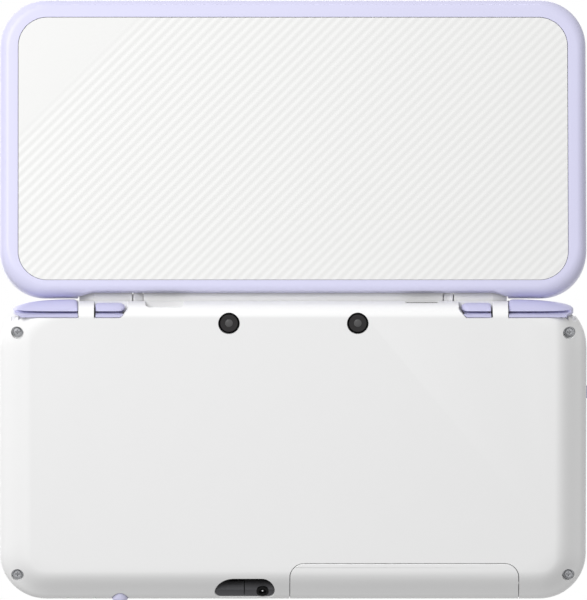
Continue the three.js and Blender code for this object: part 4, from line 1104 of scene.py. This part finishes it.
@dataclass
class Lid:
    """The lid: a lavender frame with the hinge knuckles, the ribbed white back plate and the window."""

    shell: Shell = Shell()
    low: float = 12.9
    high: float = 20.8
    rear: float = 0.2
    margin: float = 0.04
    back: float = 2.6
    back_height: float = 3.2
    inner: float = 1.2
    inner_rear: float = 2.5
    notch: Notch = Notch()
    notch_back: float = 3.0
    notch_z: Span = (8, 24)
    bar_room: float = 4.55
    knuckle: Span = (43.85, 58.3)
    knuckle_share: float = 0.72
    plate_x: Span = (-74.95, 74.95)
    plate_y: Span = (-76.85, -3.9)
    plate_z: Span = (19.7, 20.7)
    plate_radius: float = 7.9
    plate_gap: float = 0.15
    plate_room: Span = (19.5, 24)
    pane_room: tuple[Span, Span, Span, float] = ((-77, 77), (-79.2, -7), (10, 14.9), 9.0)
    display_room: tuple[Span, Span, Span, float] = ((-75, 75), (-77.2, -9), (13.8, 18.3), 7.0)
    pane: tuple[Span, Span, Span, float] = ((-76.7, 76.7), (-78.9, -7.3), (13.8, 14.8), 8.7)
    bumper: Point = (58, -80.6, 0)
    web: Span = (14.1, 16.9)
    knuckle_radius: float = 4.2
    shaft: float = 2.6
    shaft_end: float = 54.1
    rib_pitch: float = 2.0
    rib_height: float = 0.062
    rib_grid: float = 0.2
    rib_reach: float = 162.0
    smooth: Span = (41.0, 47.0)

    def ring(self, side: float, rear: float, z: float) -> Ring:
        """Returns the lid's outline drawn in on the sides and at the rear."""
        return Ring((side - HALF_WIDTH, HALF_WIDTH - side), (FRONT + self.margin + side, self.rear - rear), z)

    def skin(self) -> Piece:
        """Returns the lid's outer solid, soft on the back and narrower on the screen's side."""
        rings = []
        for angle in arc(6):
            inward = 1 - math.sin(angle)
            rise = (self.inner + self.inner_rear) / 2
            height = self.low + rise * (1 - math.cos(angle))
            rings.append(self.ring(self.inner * inward, self.inner_rear * inward, height))
        for angle in arc(14):
            inset = self.back * (1 - math.cos(angle))
            rings.append(self.ring(inset, inset, self.high - self.back_height * (1 - math.sin(angle))))
        return Bench.loft(rings, self.shell.radius - self.inner)

    def notch_cut(self) -> Piece:
        """Returns the cut that lets the base's rear wall show, its ends slanted."""
        half, back = self.notch.outer, self.notch_back
        slant = (half - self.notch.inner) / self.notch.depth * (back - self.rear)
        cut = Bench.block((-half, half), (self.rear - self.notch.depth, back), self.notch_z)
        Bench.stretch(cut, "VERT", lambda place: place.y < 0, (self.notch.inner / half, 1, 1), (0, 0, 0))
        Bench.stretch(cut, "VERT", lambda place: place.y > 1, ((half + slant) / half, 1, 1), (0, 0, 0))
        return cut

    def knuckle_block(self) -> Piece:
        """Returns the right knuckle and the web that carries it."""
        low, high = self.knuckle
        radius, share = self.knuckle_radius, self.knuckle_share
        knuckle = Bench.rod(HINGE_LINE, radius, (low, self.notch.inner), "X", 96)
        Bench.ease(knuckle, 0.2)
        tip = Bench.rod(HINGE_LINE, radius, (self.notch.inner - 0.25, high), "X", 96)
        Bench.stretch(tip, "VERT", lambda place: place.x > high - 0.1, (1, share, share),
                      (high, HINGE_LINE.y, HINGE_LINE.z))
        Bench.carve(knuckle, tip, Bench.block((low, high), (-5.0, -2.3), self.web), how=Cut.JOIN)
        return Bench.carve(knuckle, Bench.rod(HINGE_LINE, self.shaft, (low - 1, self.shaft_end), "X"))

    def frame(self) -> None:
        """Builds the lavender frame and files it."""
        rim = self.skin()
        bar = Bench.rod(HINGE_LINE, self.bar_room, (-self.notch.outer, self.notch.outer), "X", 96)
        Bench.carve(rim, self.notch_cut(), bar)
        gap = self.plate_gap
        Bench.carve(rim, Bench.slab(
            (self.plate_x[0] - gap, self.plate_x[1] + gap), (self.plate_y[0] - gap, self.plate_y[1] + gap),
            self.plate_room, self.plate_radius + gap, steps=24))
        Bench.carve(rim, Bench.slab(*self.pane_room), Bench.slab(*self.display_room))
        set_down(rim, "lid_rim", Tag("lid", "lavender_plastic", ("lid_frame",)), Finish.LAVENDER)
        set_pair(self.knuckle_block(), "knuckle_{}", Tag("lid", "grey_plastic", ("lid_frame",)), Finish.GREY)

    def ribbed_sheet(self) -> Piece:
        """Returns a slab over the plate whose top waves in fine diagonal ribs, dying out at one corner."""
        Bench.clear()
        bpy.ops.mesh.primitive_grid_add(
            x_subdivisions=round(self.rib_reach / self.rib_grid), y_subdivisions=1, size=self.rib_reach)
        sheet = Bench.settle(
            bpy.context.object, (0, 0, math.radians(-45)), (sum(self.plate_x) / 2, sum(self.plate_y) / 2, 0))
        group = sheet.vertex_groups.new(name="ribbed")
        for corner in sheet.data.vertices:
            from_corner = (HALF_WIDTH - corner.co.x) + (corner.co.y - FRONT)
            share = (from_corner - self.smooth[0]) / (self.smooth[1] - self.smooth[0])
            group.add([corner.index], min(1.0, max(0.0, share)), "REPLACE")
        bands = bpy.data.textures.new("ribs", "WOOD")
        bands.noise_basis_2, bands.wood_type = "SIN", "BANDS"
        grip = bpy.data.objects.new("rib_pitch", None)
        bpy.context.scene.collection.objects.link(grip)
        stretch = 10 * math.sqrt(2) * self.rib_pitch / math.tau
        grip.scale = (stretch, -stretch, stretch)
        bpy.context.view_layer.update()
        Bench.only(sheet)
        wave = sheet.modifiers.new("ribs", "DISPLACE")
        wave.texture, wave.texture_coords, wave.texture_coords_object = bands, "OBJECT", grip
        wave.direction, wave.strength, wave.mid_level = "Z", self.rib_height, 1.0
        wave.vertex_group = group.name
        bpy.ops.object.modifier_apply(modifier=wave.name)
        bpy.data.objects.remove(grip, do_unlink=True)
        Bench.edit(sheet, "FACE")
        bpy.ops.transform.translate(value=(0, 0, self.plate_z[1]))
        bpy.ops.mesh.extrude_region_move(TRANSFORM_OT_translate={"value": (0, 0, -3)})
        return Bench.close(sheet)

    def back_plate(self) -> None:
        """Builds the ribbed plate and files it."""
        low, high = self.plate_z
        plate = Bench.slab(self.plate_x, self.plate_y, (low, high + 1), self.plate_radius, steps=24)
        Bench.carve(plate, self.ribbed_sheet(), how=Cut.KEEP)
        set_down(plate, "back_panel", Tag("lid", "white_plastic", ("lid_back_plate",)), Finish.PLATE, 60)

    def window(self) -> None:
        """Builds the glossy window over the upper display and files it."""
        pane = Bench.slab(*self.pane, steps=16)
        Bench.ease(pane, 0.15)
        set_down(pane, "upper_pane", Tag("lid", "lid_glass", ("lid_window",)), Finish.UPPER)

    def bumpers(self) -> None:
        """Builds the two soft bumpers on the window's outer edge and files them."""
        pad = Bench.turned([(0, 12.65), (0.8, 12.66), (1.15, 12.72), (1.3, 12.82), (1.3, 12.9), (0, 12.9)],
                           self.bumper, steps=32)
        set_pair(pad, "bumper_{}", Tag("lid", "black_rubber", ("lid_bumper_{}",)), Finish.RUBBER)

    def build(self) -> None:
        """Builds the lid."""
        self.frame()
        self.back_plate()
        self.window()
        self.bumpers()


# What shows on the base's underside and edges

@dataclass
class Fittings:
    """Cameras, screws, stylus, audio block, power inlet, infrared window, slider and indicators."""

    stylus_front: float = -82.55
    lamp_front: float = -81.9
    cross_arm: float = 0.78
    cross_slot: float = 0.17
    cross_share: float = 0.55
    jack: Point = (8.3, -79.6, 2.02)
    jack_turned: float = math.radians(146)
    jack_ledge: Box = ((6, 20.6), (-79.8, -76.4), (2.6, 3.7))
    jack_face: Box = ((0, 30), (-90, -70), (-8, 4.15))
    jack_slope: float = 5.92
    jack_crease: Box = ((13.15, 13.4), (FRONT - 1, -75), (0, 2.75))
    jack_pocket: Box = ((13.3, 18.1), (-76.75, -75), (0, 3.0))
    jack_rows: Span = (-76.95, -77.5)
    infrared: Box = ((-39.3, -30.9), (-2.7, -0.2), (5.5, 7.3))
    socket: Box = ((30.1, 40.1), (-4.3, -1.6), (2.45, 7.3))
    socket_mouth: Box = ((30.9, 39.3), (-3.6, 0), (3.1, 6.6))
    socket_tongue: Box = ((32.6, 37.6), (-3.9, -1.9), (4.5, 5.3))
    knob: Box = ((-80.4, -78.2), (-26.8, -23.4), (6.5, 8.3))
    knob_grips: tuple[float, ...] = (-26.0, -25.1, -24.2)

    def camera_pair(self) -> None:
        """Builds the two camera windows: a dark rim, a bevel and a small lens in a pit."""
        x, y = CAMERAS
        eye = Bench.turned([
            (0, 0.3), (0.3, 0.32), (0.6, 0.38), (0.85, 0.48), (1.0, 0.6), (1.06, 0.62), (1.12, 0.56),
            (1.6, 0.5), (2.34, 0.46), (2.4, 0.5), (2.42, 0.9), (2.6, 0.9), (2.62, 0.5), (2.68, 0.42),
            (2.78, 0.42), (2.8, 0.46), (2.8, 3.6), (0, 3.6),
        ], (x, y, 0), steps=64)
        bands = ((0, 2.41, Finish.EYE), (0, 1.05, Finish.EYE_LENS), (2.41, 9, Finish.EYE_RIM))
        for low, high, finish in bands:
            Bench.paint(eye, finish, lambda centre, _: low < math.hypot(centre.x - x, centre.y - y) < high
                        and centre.z < 1.5)
        set_pair(eye, "camera_{}", Tag("base", "smoked_window", ("camera_module_{}",)), Finish.EYE)

    def screw_set(self) -> None:
        """Builds the four cover screws, each with a cross recess in a domed head."""
        model = Bench.turned([
            (0, 0.0), (0.86, 0.02), (1.02, 0.1), (1.1, 0.24), (1.12, 0.7), (1.5, 0.74), (1.55, 0.8),
            (1.55, 1.0), (0.7, 1.02), (0.7, 5.5), (0, 5.8),
        ])
        arm, slot, deep = self.cross_arm, self.cross_slot, (-0.5, 0.6)
        arms = Bench.block((-arm, arm), (-slot, slot), deep)
        Bench.carve(arms, Bench.block((-slot, slot), (-arm, arm), deep), how=Cut.JOIN)
        Bench.stretch(arms, "FACE", lambda _, normal: normal.z > 0.5, (self.cross_share, self.cross_share, 1),
                      (0, 0, deep[1]))
        Bench.carve(model, arms)
        for x, y, low, row in SCREWS:
            for word, side in SIDES:
                screw = Bench.copy(model, (side * x, y, low))
                set_down(screw, f"screw_{row}_{word}",
                         Tag("base", "steel", (f"cover_screw_{row}_{word}",)), Finish.SCREW, 30)
        bpy.data.objects.remove(model, do_unlink=True)

    def stylus_pen(self) -> None:
        """Builds the stylus: a plain barrel with a rounded head and a tapering tip."""
        pen = Bench.turned([
            (0, 0.0), (1.5, 0.02), (1.95, 0.14), (2.18, 0.4), (2.25, 0.8), (2.25, 5.0), (2.1, 5.3),
            (2.1, 69.0), (1.95, 69.4), (1.2, 71.3), (0.7, 71.9), (0, 72.0),
        ], (STYLUS[0], self.stylus_front, STYLUS[1]), ALONG)
        set_down(pen, "stylus_pen", Tag("stylus", "lavender_plastic", ("stylus",)), Finish.LAVENDER)

    def audio(self, case: BaseCase) -> None:
        """Builds the black block round the headphone jack, cut from the base's own skin."""
        block = case.skin(case.boss_border)
        Bench.carve(block, case.audio_window(0.0), how=Cut.KEEP)
        Bench.carve(block, Bench.block(*self.jack_ledge), how=Cut.JOIN)
        face = Bench.block(*self.jack_face)
        Bench.pick(face, "VERT", lambda place: place.z > 0 and place.y < -80)
        bpy.ops.transform.translate(value=(0, 0, -self.jack_slope))
        bpy.ops.object.mode_set(mode="OBJECT")
        Bench.carve(block, face, Bench.block(*self.jack_crease), Bench.block(*self.jack_pocket))
        for y in self.jack_rows:
            Bench.carve(block, Bench.block((14.0, 17.9), (y - 0.11, y + 0.11), (1.75, 2.8)), how=Cut.JOIN)
        collar = [(0, -0.35), (1.775, -0.35), (1.775, 0.1), (1.65, 0.16), (1.4, 0.16), (1.3, 0.08), (0, 0.08)]
        bore = [(0, -0.5), (0.85, -0.5), (0.95, -0.1), (1.05, 0.05), (1.2, 1.0), (0, 1.0)]
        contact = [(0, -0.8), (0.28, -0.8), (0.28, -0.25), (0.18, -0.12), (0, -0.1)]
        for profile, how in ((collar, Cut.JOIN), (bore, Cut.AWAY), (contact, Cut.JOIN)):
            Bench.carve(block, Bench.turned(profile, self.jack, (self.jack_turned, 0, 0)), how=how)
        self.dress_jack(block)
        set_down(block, "jack_block", Tag("base", "black_plastic", ("audio_block",)), Finish.JACK)

    def dress_jack(self, block: Piece) -> None:
        """Dresses the jack's bore in black and its contact in steel."""
        jack, way = Vector(self.jack), Vector((0, -math.sin(self.jack_turned), math.cos(self.jack_turned)))
        bands = ((Finish.JACK, -9.0, 99.0), (Finish.EYE_RIM, -0.6, 1.79), (Finish.STEEL, -0.45, 0.32))
        for finish, low, reach in bands:
            Bench.paint(block, finish, lambda centre, _: low < (centre - jack).dot(way) < 0.3
                        and (centre - jack).cross(way).length < reach)

    def small_windows(self) -> None:
        """Builds the indicator windows in the front edge and the infrared window in the rear one."""
        for place, x in enumerate(INDICATORS, 1):
            lamp = Bench.turned([(0, 0.05), (0.5, 0.0), (0.75, 0.12), (0.8, 0.35), (0.8, 2.8), (0, 2.8)],
                                (x, self.lamp_front, INDICATOR_Z), ALONG, 32)
            tag = Tag("base", "indicator", (f"indicator_window_{place}",))
            set_down(lamp, f"indicator_{place}", tag, Finish.LAMP)
        pane = Bench.slab(*self.infrared, 0.35, axis=1, steps=4)
        Bench.ease(pane, 0.1)
        set_down(pane, "infrared_pane", Tag("base", "smoked_window", ("infrared_window",)), Finish.EYE)

    def inlet(self) -> None:
        """Builds the power inlet's socket: a black mouth with a raised tongue."""
        socket = Bench.slab(*self.socket, 1.5, axis=1, steps=6)
        socket.data.materials.append(Finish.WHITE.material())
        Bench.carve(socket, Bench.slab(*self.socket_mouth, 0.7, axis=1, steps=5))
        Bench.carve(socket, Bench.slab(*self.socket_tongue, 0.2, axis=1, steps=3), how=Cut.JOIN)
        (left, right), _, (low, high) = self.socket_mouth
        Bench.paint(socket, Finish.BLACK, lambda centre, _: left - 0.1 < centre.x < right + 0.1
                    and low - 0.1 < centre.z < high + 0.1 and centre.y < -1.7)
        set_down(socket, "inlet_socket", Tag("base", "black_plastic", ("power_inlet",)), Finish.BLACK)

    def slider(self) -> None:
        """Builds the volume slider's knob with three grip ridges."""
        knob = Bench.slab(*self.knob, 0.35, axis=0, steps=4)
        for y in self.knob_grips:
            Bench.carve(knob, Bench.rod((-80.55, y, 0), 0.3, (6, 9), steps=16))
        Bench.ease(knob, 0.06)
        tag = Tag("volume_slider", "lavender_plastic", ("volume_slider",))
        set_down(knob, "volume_knob", tag, Finish.LAVENDER)

    def build(self, case: BaseCase) -> None:
        """Builds and files all of them."""
        self.camera_pair()
        self.screw_set()
        self.stylus_pen()
        self.audio(case)
        self.small_windows()
        self.inlet()
        self.slider()


# The face that the player sees

@dataclass
class Deck:
    """The control deck with its pads, buttons, nub, home button and touch panel."""

    x: Span = (-76.5, 76.5)
    y: Span = (-78.7, -7.3)
    z: Span = (10.0, 11.3)
    radius: float = 10.2
    touch_x: Span = (-44.0, 44.0)
    touch_y: Span = (-73.2, -8.2)
    touch_z: Span = (10.1, 11.2)
    touch_radius: float = 1.5
    touch_gap: float = 0.2
    seat: float = 1.1
    seat_rear: float = 0.75
    seat_radius: float = 2.4
    circle: Span = (-62.5, -24.0)
    cross: Span = (-62.5, -53.02)
    face: Span = (61.2, -28.03)
    pitch: float = 9.0
    nub: Span = (52.2, -12.2)
    small: dict[str, Span] = field(default_factory=lambda: {
        "start": (57.0, -48.99), "select": (57.0, -58.49), "power": (68.6, -53.59)})
    home_y: float = -76.3
    speaker_x: float = 64.5
    speaker_y: float = -71.8
    below: Span = (9.0, 13.0)
    ledge: float = 0.16
    circle_dish: float = 10.2
    nub_dish: float = 4.2
    circle_hole: float = 6.1
    nub_hole: float = 2.85
    face_hole: float = 3.95
    small_hole: float = 2.65
    cross_pad: Point = (10.0, 3.4, 0.5)
    cross_hole: Point = (10.4, 3.8, 0.6)
    home: Point = (6.0, 1.4, 1.39)
    home_flange: Point = (6.9, 2.3, 2.28)
    home_hole: Point = (6.25, 1.65, 1.6)
    slot: Point = (0.45, 1.85, 0.44)
    slot_pitch: float = 2.0
    mark: Point = (0.28, 1.3, 0.27)
    marks: float = 7.2
    nub_ridge: float = 0.1
    nub_pitch: float = 0.8

    def bar(self, size: Point, y: float, z: Span, steps: int) -> Piece:
        """Returns a bar across the middle, its size being half its width, half its depth and its radius."""
        half_x, half_y, radius = size
        return Bench.slab((-half_x, half_x), (y - half_y, y + half_y), z, radius, steps=steps)

    def cross_bar(self, size: Point, z: Span) -> Piece:
        """Returns two joined bars, the size being half their length, half their width and their radius."""
        (x, y), (half, arm, radius) = self.cross, size
        cross = Bench.slab((x - half, x + half), (y - arm, y + arm), z, radius, steps=5)
        other = Bench.slab((x - arm, x + arm), (y - half, y + half), z, radius, steps=5)
        return Bench.carve(cross, other, how=Cut.JOIN)

    def plate(self) -> None:
        """Builds the deck plate: dishes round the controls, their holes and the speaker slots."""
        plate = Bench.slab(self.x, self.y, self.z, self.radius, steps=16)
        Bench.ease(plate, 0.2)
        top = self.z[1]
        for (x, y), radius in ((self.circle, self.circle_dish), (self.nub, self.nub_dish)):
            Bench.carve(plate, Bench.turned(
                [(0, -0.4), (radius - 1.6, -0.4), (radius - 0.5, -0.12), (radius, 0.0), (radius, 1), (0, 1)],
                (x, y, top), steps=64))
        (left, right), (front, back), gap, seat = self.touch_x, self.touch_y, self.touch_gap, self.seat
        ledge = Bench.slab((left - seat, right + seat), (front - seat, back + self.seat_rear),
                           (top - self.ledge, top + 1), self.seat_radius, steps=6)
        hole = Bench.slab((left - gap, right + gap), (front - gap, back + gap), self.below,
                          self.touch_radius + gap, steps=6)
        Bench.carve(plate, ledge, hole)
        rounds = [(self.circle, self.circle_hole, 64), (self.nub, self.nub_hole, 48)]
        rounds += [(place, self.face_hole, 48) for place in self.face_places().values()]
        rounds += [(place, self.small_hole, 48) for place in self.small.values()]
        holes = [Bench.rod((*place, 0), radius, self.below, steps=steps) for place, radius, steps in rounds]
        holes.append(self.cross_bar(self.cross_hole, self.below))
        holes.append(self.bar(self.home_hole, self.home_y, self.below, 8))
        Bench.carve(plate, *holes)
        slot = self.bar(self.slot, 0, self.below, 6)
        for _, side in SIDES:
            for place in range(-2, 3):
                x = side * self.speaker_x + self.slot_pitch * place
                Bench.carve(plate, Bench.copy(slot, (x, self.speaker_y, 0)))
        bpy.data.objects.remove(slot, do_unlink=True)
        set_down(plate, "deck_plate", Tag("base", "white_plastic", ("control_deck",)), Finish.WHITE)

    def face_places(self) -> dict[str, Span]:
        """Returns the four face buttons' centres by their names."""
        x, y = self.face
        return {"east": (x + self.pitch, y), "south": (x, y - self.pitch), "north": (x, y + self.pitch),
                "west": (x - self.pitch, y)}

    def pads(self) -> None:
        """Builds the circle pad, with its ridged rim and dished grip, and the cross pad."""
        ridges = [(2.2 + 0.55 * step, 12.76 + 0.02 * step + (0.05 if step % 2 else 0.0)) for step in range(7)]
        pad = Bench.turned([
            (0, 8.1), (2.0, 8.1), (2.0, 9.1), (9.4, 9.1), (9.4, 9.7), (2.0, 9.7), (2.0, 11.7), (7.1, 11.7),
            (7.45, 11.8), (7.6, 12.1), (7.6, 12.75), (7.5, 13.02), (7.3, 13.17), (7.05, 13.2), (6.8, 13.14),
            (6.3, 12.98), *reversed(ridges), (1.6, 12.72), (0, 12.7),
        ], (*self.circle, 0), steps=96)
        set_down(pad, "slide_pad", Tag("circle_pad", "black_rubber", ("circle_pad",)), Finish.RUBBER)
        cross = self.cross_bar(self.cross_pad, (9.1, 12.9))
        Bench.ease(cross, 0.35, steps=3)
        dish = Bench.turned([(0, -0.35), (1.4, -0.28), (2.6, -0.06), (3.0, 0.0), (3.0, 1), (0, 1)],
                            (*self.cross, 12.9))
        Bench.carve(cross, dish)
        groove = self.bar(self.mark, 0, (12.72, 14), 4)
        for across, along in ((0, self.marks), (0, -self.marks), (self.marks, 0), (-self.marks, 0)):
            Bench.carve(cross, Bench.settle(Bench.copy(groove), (0, 0, math.pi / 2 if across else 0),
                                            (self.cross[0] + across, self.cross[1] + along, 0)))
        bpy.data.objects.remove(groove, do_unlink=True)
        set_down(cross, "direction_pad", Tag("cross_pad", "black_plastic", ("cross_pad",)), Finish.BLACK)

    def round_set(self, model: Piece, places: dict[str, Span], node: str, finish: Finish) -> None:
        """Copies a round key to its places, files each and uses up the model.

        Args:
            model: The key, standing at the origin.
            places: The centres by the keys' names.
            node: The pattern of the nodes' names, with {} for the key's name.
            finish: The keys' finish.
        """
        for name, (x, y) in places.items():
            own = node.format(name)
            set_down(Bench.copy(model, (x, y, 0)), f"key_{name}",
                     Tag(own, f"{finish.name.lower()}_plastic", (own,)), finish)
        bpy.data.objects.remove(model, do_unlink=True)

    def buttons(self) -> None:
        """Builds the face buttons, the small round ones, the home bar and the nub."""
        self.round_set(Bench.turned([
            (0, 8.8), (4.6, 8.8), (4.6, 9.7), (3.7, 9.7), (3.7, 12.3), (3.64, 12.5), (3.48, 12.64),
            (3.2, 12.71), (2.2, 12.77), (1.1, 12.795), (0, 12.8),
        ], steps=64), self.face_places(), "button_{}", Finish.LAVENDER)
        self.round_set(Bench.turned([
            (0, 8.9), (3.3, 8.9), (3.3, 9.7), (2.4, 9.7), (2.4, 11.85), (2.34, 11.98), (2.2, 12.06),
            (2.0, 12.09), (1.0, 12.05), (0, 12.04),
        ]), self.small, "{}_button", Finish.WHITE)
        home = self.bar(self.home, self.home_y, (9.3, 11.8), 10)
        Bench.ease(home, 0.25, steps=3)
        Bench.carve(home, self.bar(self.home_flange, self.home_y, (8.9, 9.7), 10), how=Cut.JOIN)
        set_down(home, "key_home", Tag("home_button", "white_plastic", ("home_button",)), Finish.WHITE)
        nub = Bench.turned([
            (0, 7.1), (3.4, 7.1), (3.4, 7.7), (2.4, 7.9), (2.4, 12.0), (2.3, 12.3), (2.05, 12.5),
            (1.6, 12.59), (0, 12.6),
        ], (*self.nub, 0))
        x, ridge = self.nub[0], self.nub_ridge
        for step in range(-2, 3):
            y = self.nub[1] + self.nub_pitch * step
            Bench.carve(nub, Bench.block((x - 3, x + 3), (y - ridge, y + ridge), (12.45, 14)))
        set_down(nub, "nub_cap", Tag("base", "grey_plastic", ("pointing_nub",)), Finish.GREY)

    def touch(self) -> None:
        """Builds the touch panel over the lower display."""
        panel = Bench.slab(self.touch_x, self.touch_y, self.touch_z, self.touch_radius, steps=6)
        Bench.ease(panel, 0.12)
        set_down(panel, "touch_glass", Tag("base", "dark_glass", ("touch_panel",)), Finish.TOUCH)

    def build(self) -> None:
        """Builds and files them."""
        self.plate()
        self.pads()
        self.buttons()
        self.touch()


# What is carried over from the part, and the studio

@dataclass
class Inside:
    """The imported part's own nodes that keep their mesh and get a finish here."""

    finishes: tuple[tuple[Finish, tuple[str, ...]], ...] = (
        (Finish.BLACK, ("card_slot", "stylus_sleeve", "circle_pad_carriage", "circle_pad_seat",
                        "speaker_right", "speaker_left")),
        (Finish.RUBBER, ("pivot_pad", "button_mat_right", "button_mat_left")),
        (Finish.BOARD, ("main_board", "button_board")),
        (Finish.WRAP, ("battery_pack",)),
        (Finish.STEEL, ("hinge_cartridge_right", "hinge_cartridge_left", "memory_card_socket")),
        (Finish.EYE, ("inner_camera",)),
        (Finish.SCREEN, ("lower_display", "upper_display")),
    )

    def build(self) -> None:
        """Dresses the nodes."""
        for finish, nodes in self.finishes:
            for node in nodes:
                piece = bpy.data.objects[node]
                piece.data.materials.clear()
                piece.data.materials.append(finish.material())
                LOG.info("%s: dressed in %s", node, finish.name.lower())


@dataclass
class Studio:
    """A white room: an even world, one large soft lamp behind the console, one above it, and the camera."""

    tilt: float = math.radians(11.0)
    lens: float = 1500.0
    distance: float = 6.816
    lean: float = 0.008
    aim: Point = (0.13, 3.0, 6.0)
    ambient: float = 0.49
    key: float = 0.76
    key_from: Point = (0.46, 0.63, -0.625)
    top: float = 0.42
    top_from: Point = (0.35, 0.1, 0.93)
    floor_half: float = 2.0
    floor_z: float = -0.3

    def lamp(self, name: str, level: float, direction: Sequence[float], reach: float = 1.0,
             size: float = 0.6) -> None:
        """Adds a square soft lamp.

        Args:
            name: Its name.
            level: The grey that it lights a white face to, square on.
            direction: Where it stands, seen from the console.
            reach: Its distance in metres.
            size: Its side in metres.
        """
        light = bpy.data.lights.new(name, "AREA")
        light.shape, light.size, light.energy = "SQUARE", size, level * math.pi ** 2 * reach ** 2
        lamp = bpy.data.objects.new(name, light)
        bpy.context.scene.collection.objects.link(lamp)
        way = Vector(direction).normalized()
        lamp.location = way * reach
        lamp.rotation_euler = way.to_track_quat("Z", "Y").to_euler()

    def world(self) -> None:
        """Makes the world white to the camera and in reflections, and an even grey as a light."""
        world = bpy.data.worlds.new("studio")
        world.use_nodes = True
        nodes, links = world.node_tree.nodes, world.node_tree.links
        rays = nodes.new("ShaderNodeLightPath")
        level: bpy.types.NodeSocket = rays.outputs["Is Camera Ray"]
        for kind in ("Is Glossy Ray", "Is Transmission Ray"):
            either = nodes.new("ShaderNodeMath")
            either.operation = "MAXIMUM"
            links.new(level, either.inputs[0])
            links.new(rays.outputs[kind], either.inputs[1])
            level = either.outputs[0]
        strength = nodes.new("ShaderNodeMapRange")
        links.new(level, strength.inputs["Value"])
        strength.inputs["To Min"].default_value = self.ambient
        links.new(strength.outputs["Result"], nodes["Background"].inputs["Strength"])
        nodes["Background"].inputs["Color"].default_value = (1, 1, 1, 1)
        bpy.context.scene.world = world

    def floor(self) -> None:
        """Adds the white floor, seen from above only and casting no shadow below."""
        Bench.clear()
        bpy.ops.mesh.primitive_plane_add(size=2 * self.floor_half, location=(0, 0, self.floor_z * MM))
        floor = bpy.context.object
        floor.name = "studio_floor"
        graph = Graph("studio_floor")
        rays = graph.node("ShaderNodeLightPath").outputs
        seen = Value(graph, rays["Is Camera Ray"]).sum("MAXIMUM", Value(graph, rays["Is Glossy Ray"]))
        front = 1.0 - Value(graph, graph.node("ShaderNodeNewGeometry").outputs["Backfacing"])
        clear = graph.node("ShaderNodeBsdfTransparent").outputs[0]
        white = graph.node("ShaderNodeEmission", None, {"Color": (1, 1, 1, 1), "Strength": 1.0}).outputs[0]
        mixed = graph.node("ShaderNodeMixShader", None, {0: seen * front, 1: clear, 2: white}).outputs[0]
        output = next(node for node in graph.tree.nodes if node.type == "OUTPUT_MATERIAL")
        graph.tree.links.new(mixed, output.inputs["Surface"])
        floor.data.materials.append(graph.material)

    def camera(self) -> None:
        """Sets the camera where the photograph was taken from: under the console, a little behind it."""
        lens = bpy.data.cameras.new("camera")
        lens.lens, lens.sensor_width, lens.clip_end = self.lens, 36.0, 50.0
        camera = bpy.data.objects.new("camera", lens)
        bpy.context.scene.collection.objects.link(camera)
        back = Vector((self.lean, math.sin(self.tilt), -math.cos(self.tilt))).normalized()
        right = Vector((0.0, math.cos(self.tilt), math.sin(self.tilt))).cross(back).normalized()
        up = back.cross(right)
        turn = Matrix((right, up, back)).transposed().to_4x4()
        camera.matrix_world = Matrix.Translation(Vector(self.aim) * MM + back * self.distance) @ turn
        bpy.context.scene.camera = camera
        bpy.context.scene.view_settings.view_transform = "Standard"

    def build(self) -> None:
        """Sets up the studio."""
        self.world()
        self.lamp("key", self.key, self.key_from)
        self.lamp("top", self.top, self.top_from, size=1.0)
        self.floor()
        self.camera()


def main() -> None:
    """Builds the console and its studio."""
    logging.basicConfig(level=logging.INFO, format="%(name)s: %(message)s")
    for leftover in [piece for piece in bpy.data.objects if piece.name in ("Cube", "Light", "Camera")]:
        bpy.data.objects.remove(leftover, do_unlink=True)
    case = BaseCase()
    case.build()
    RearButtons().build()
    HingeParts().build()
    Lid().build()
    Fittings().build(case)
    Deck().build()
    Inside().build()
    Studio().build()
    Bench.clear()


if __name__ == "__main__":
    main()
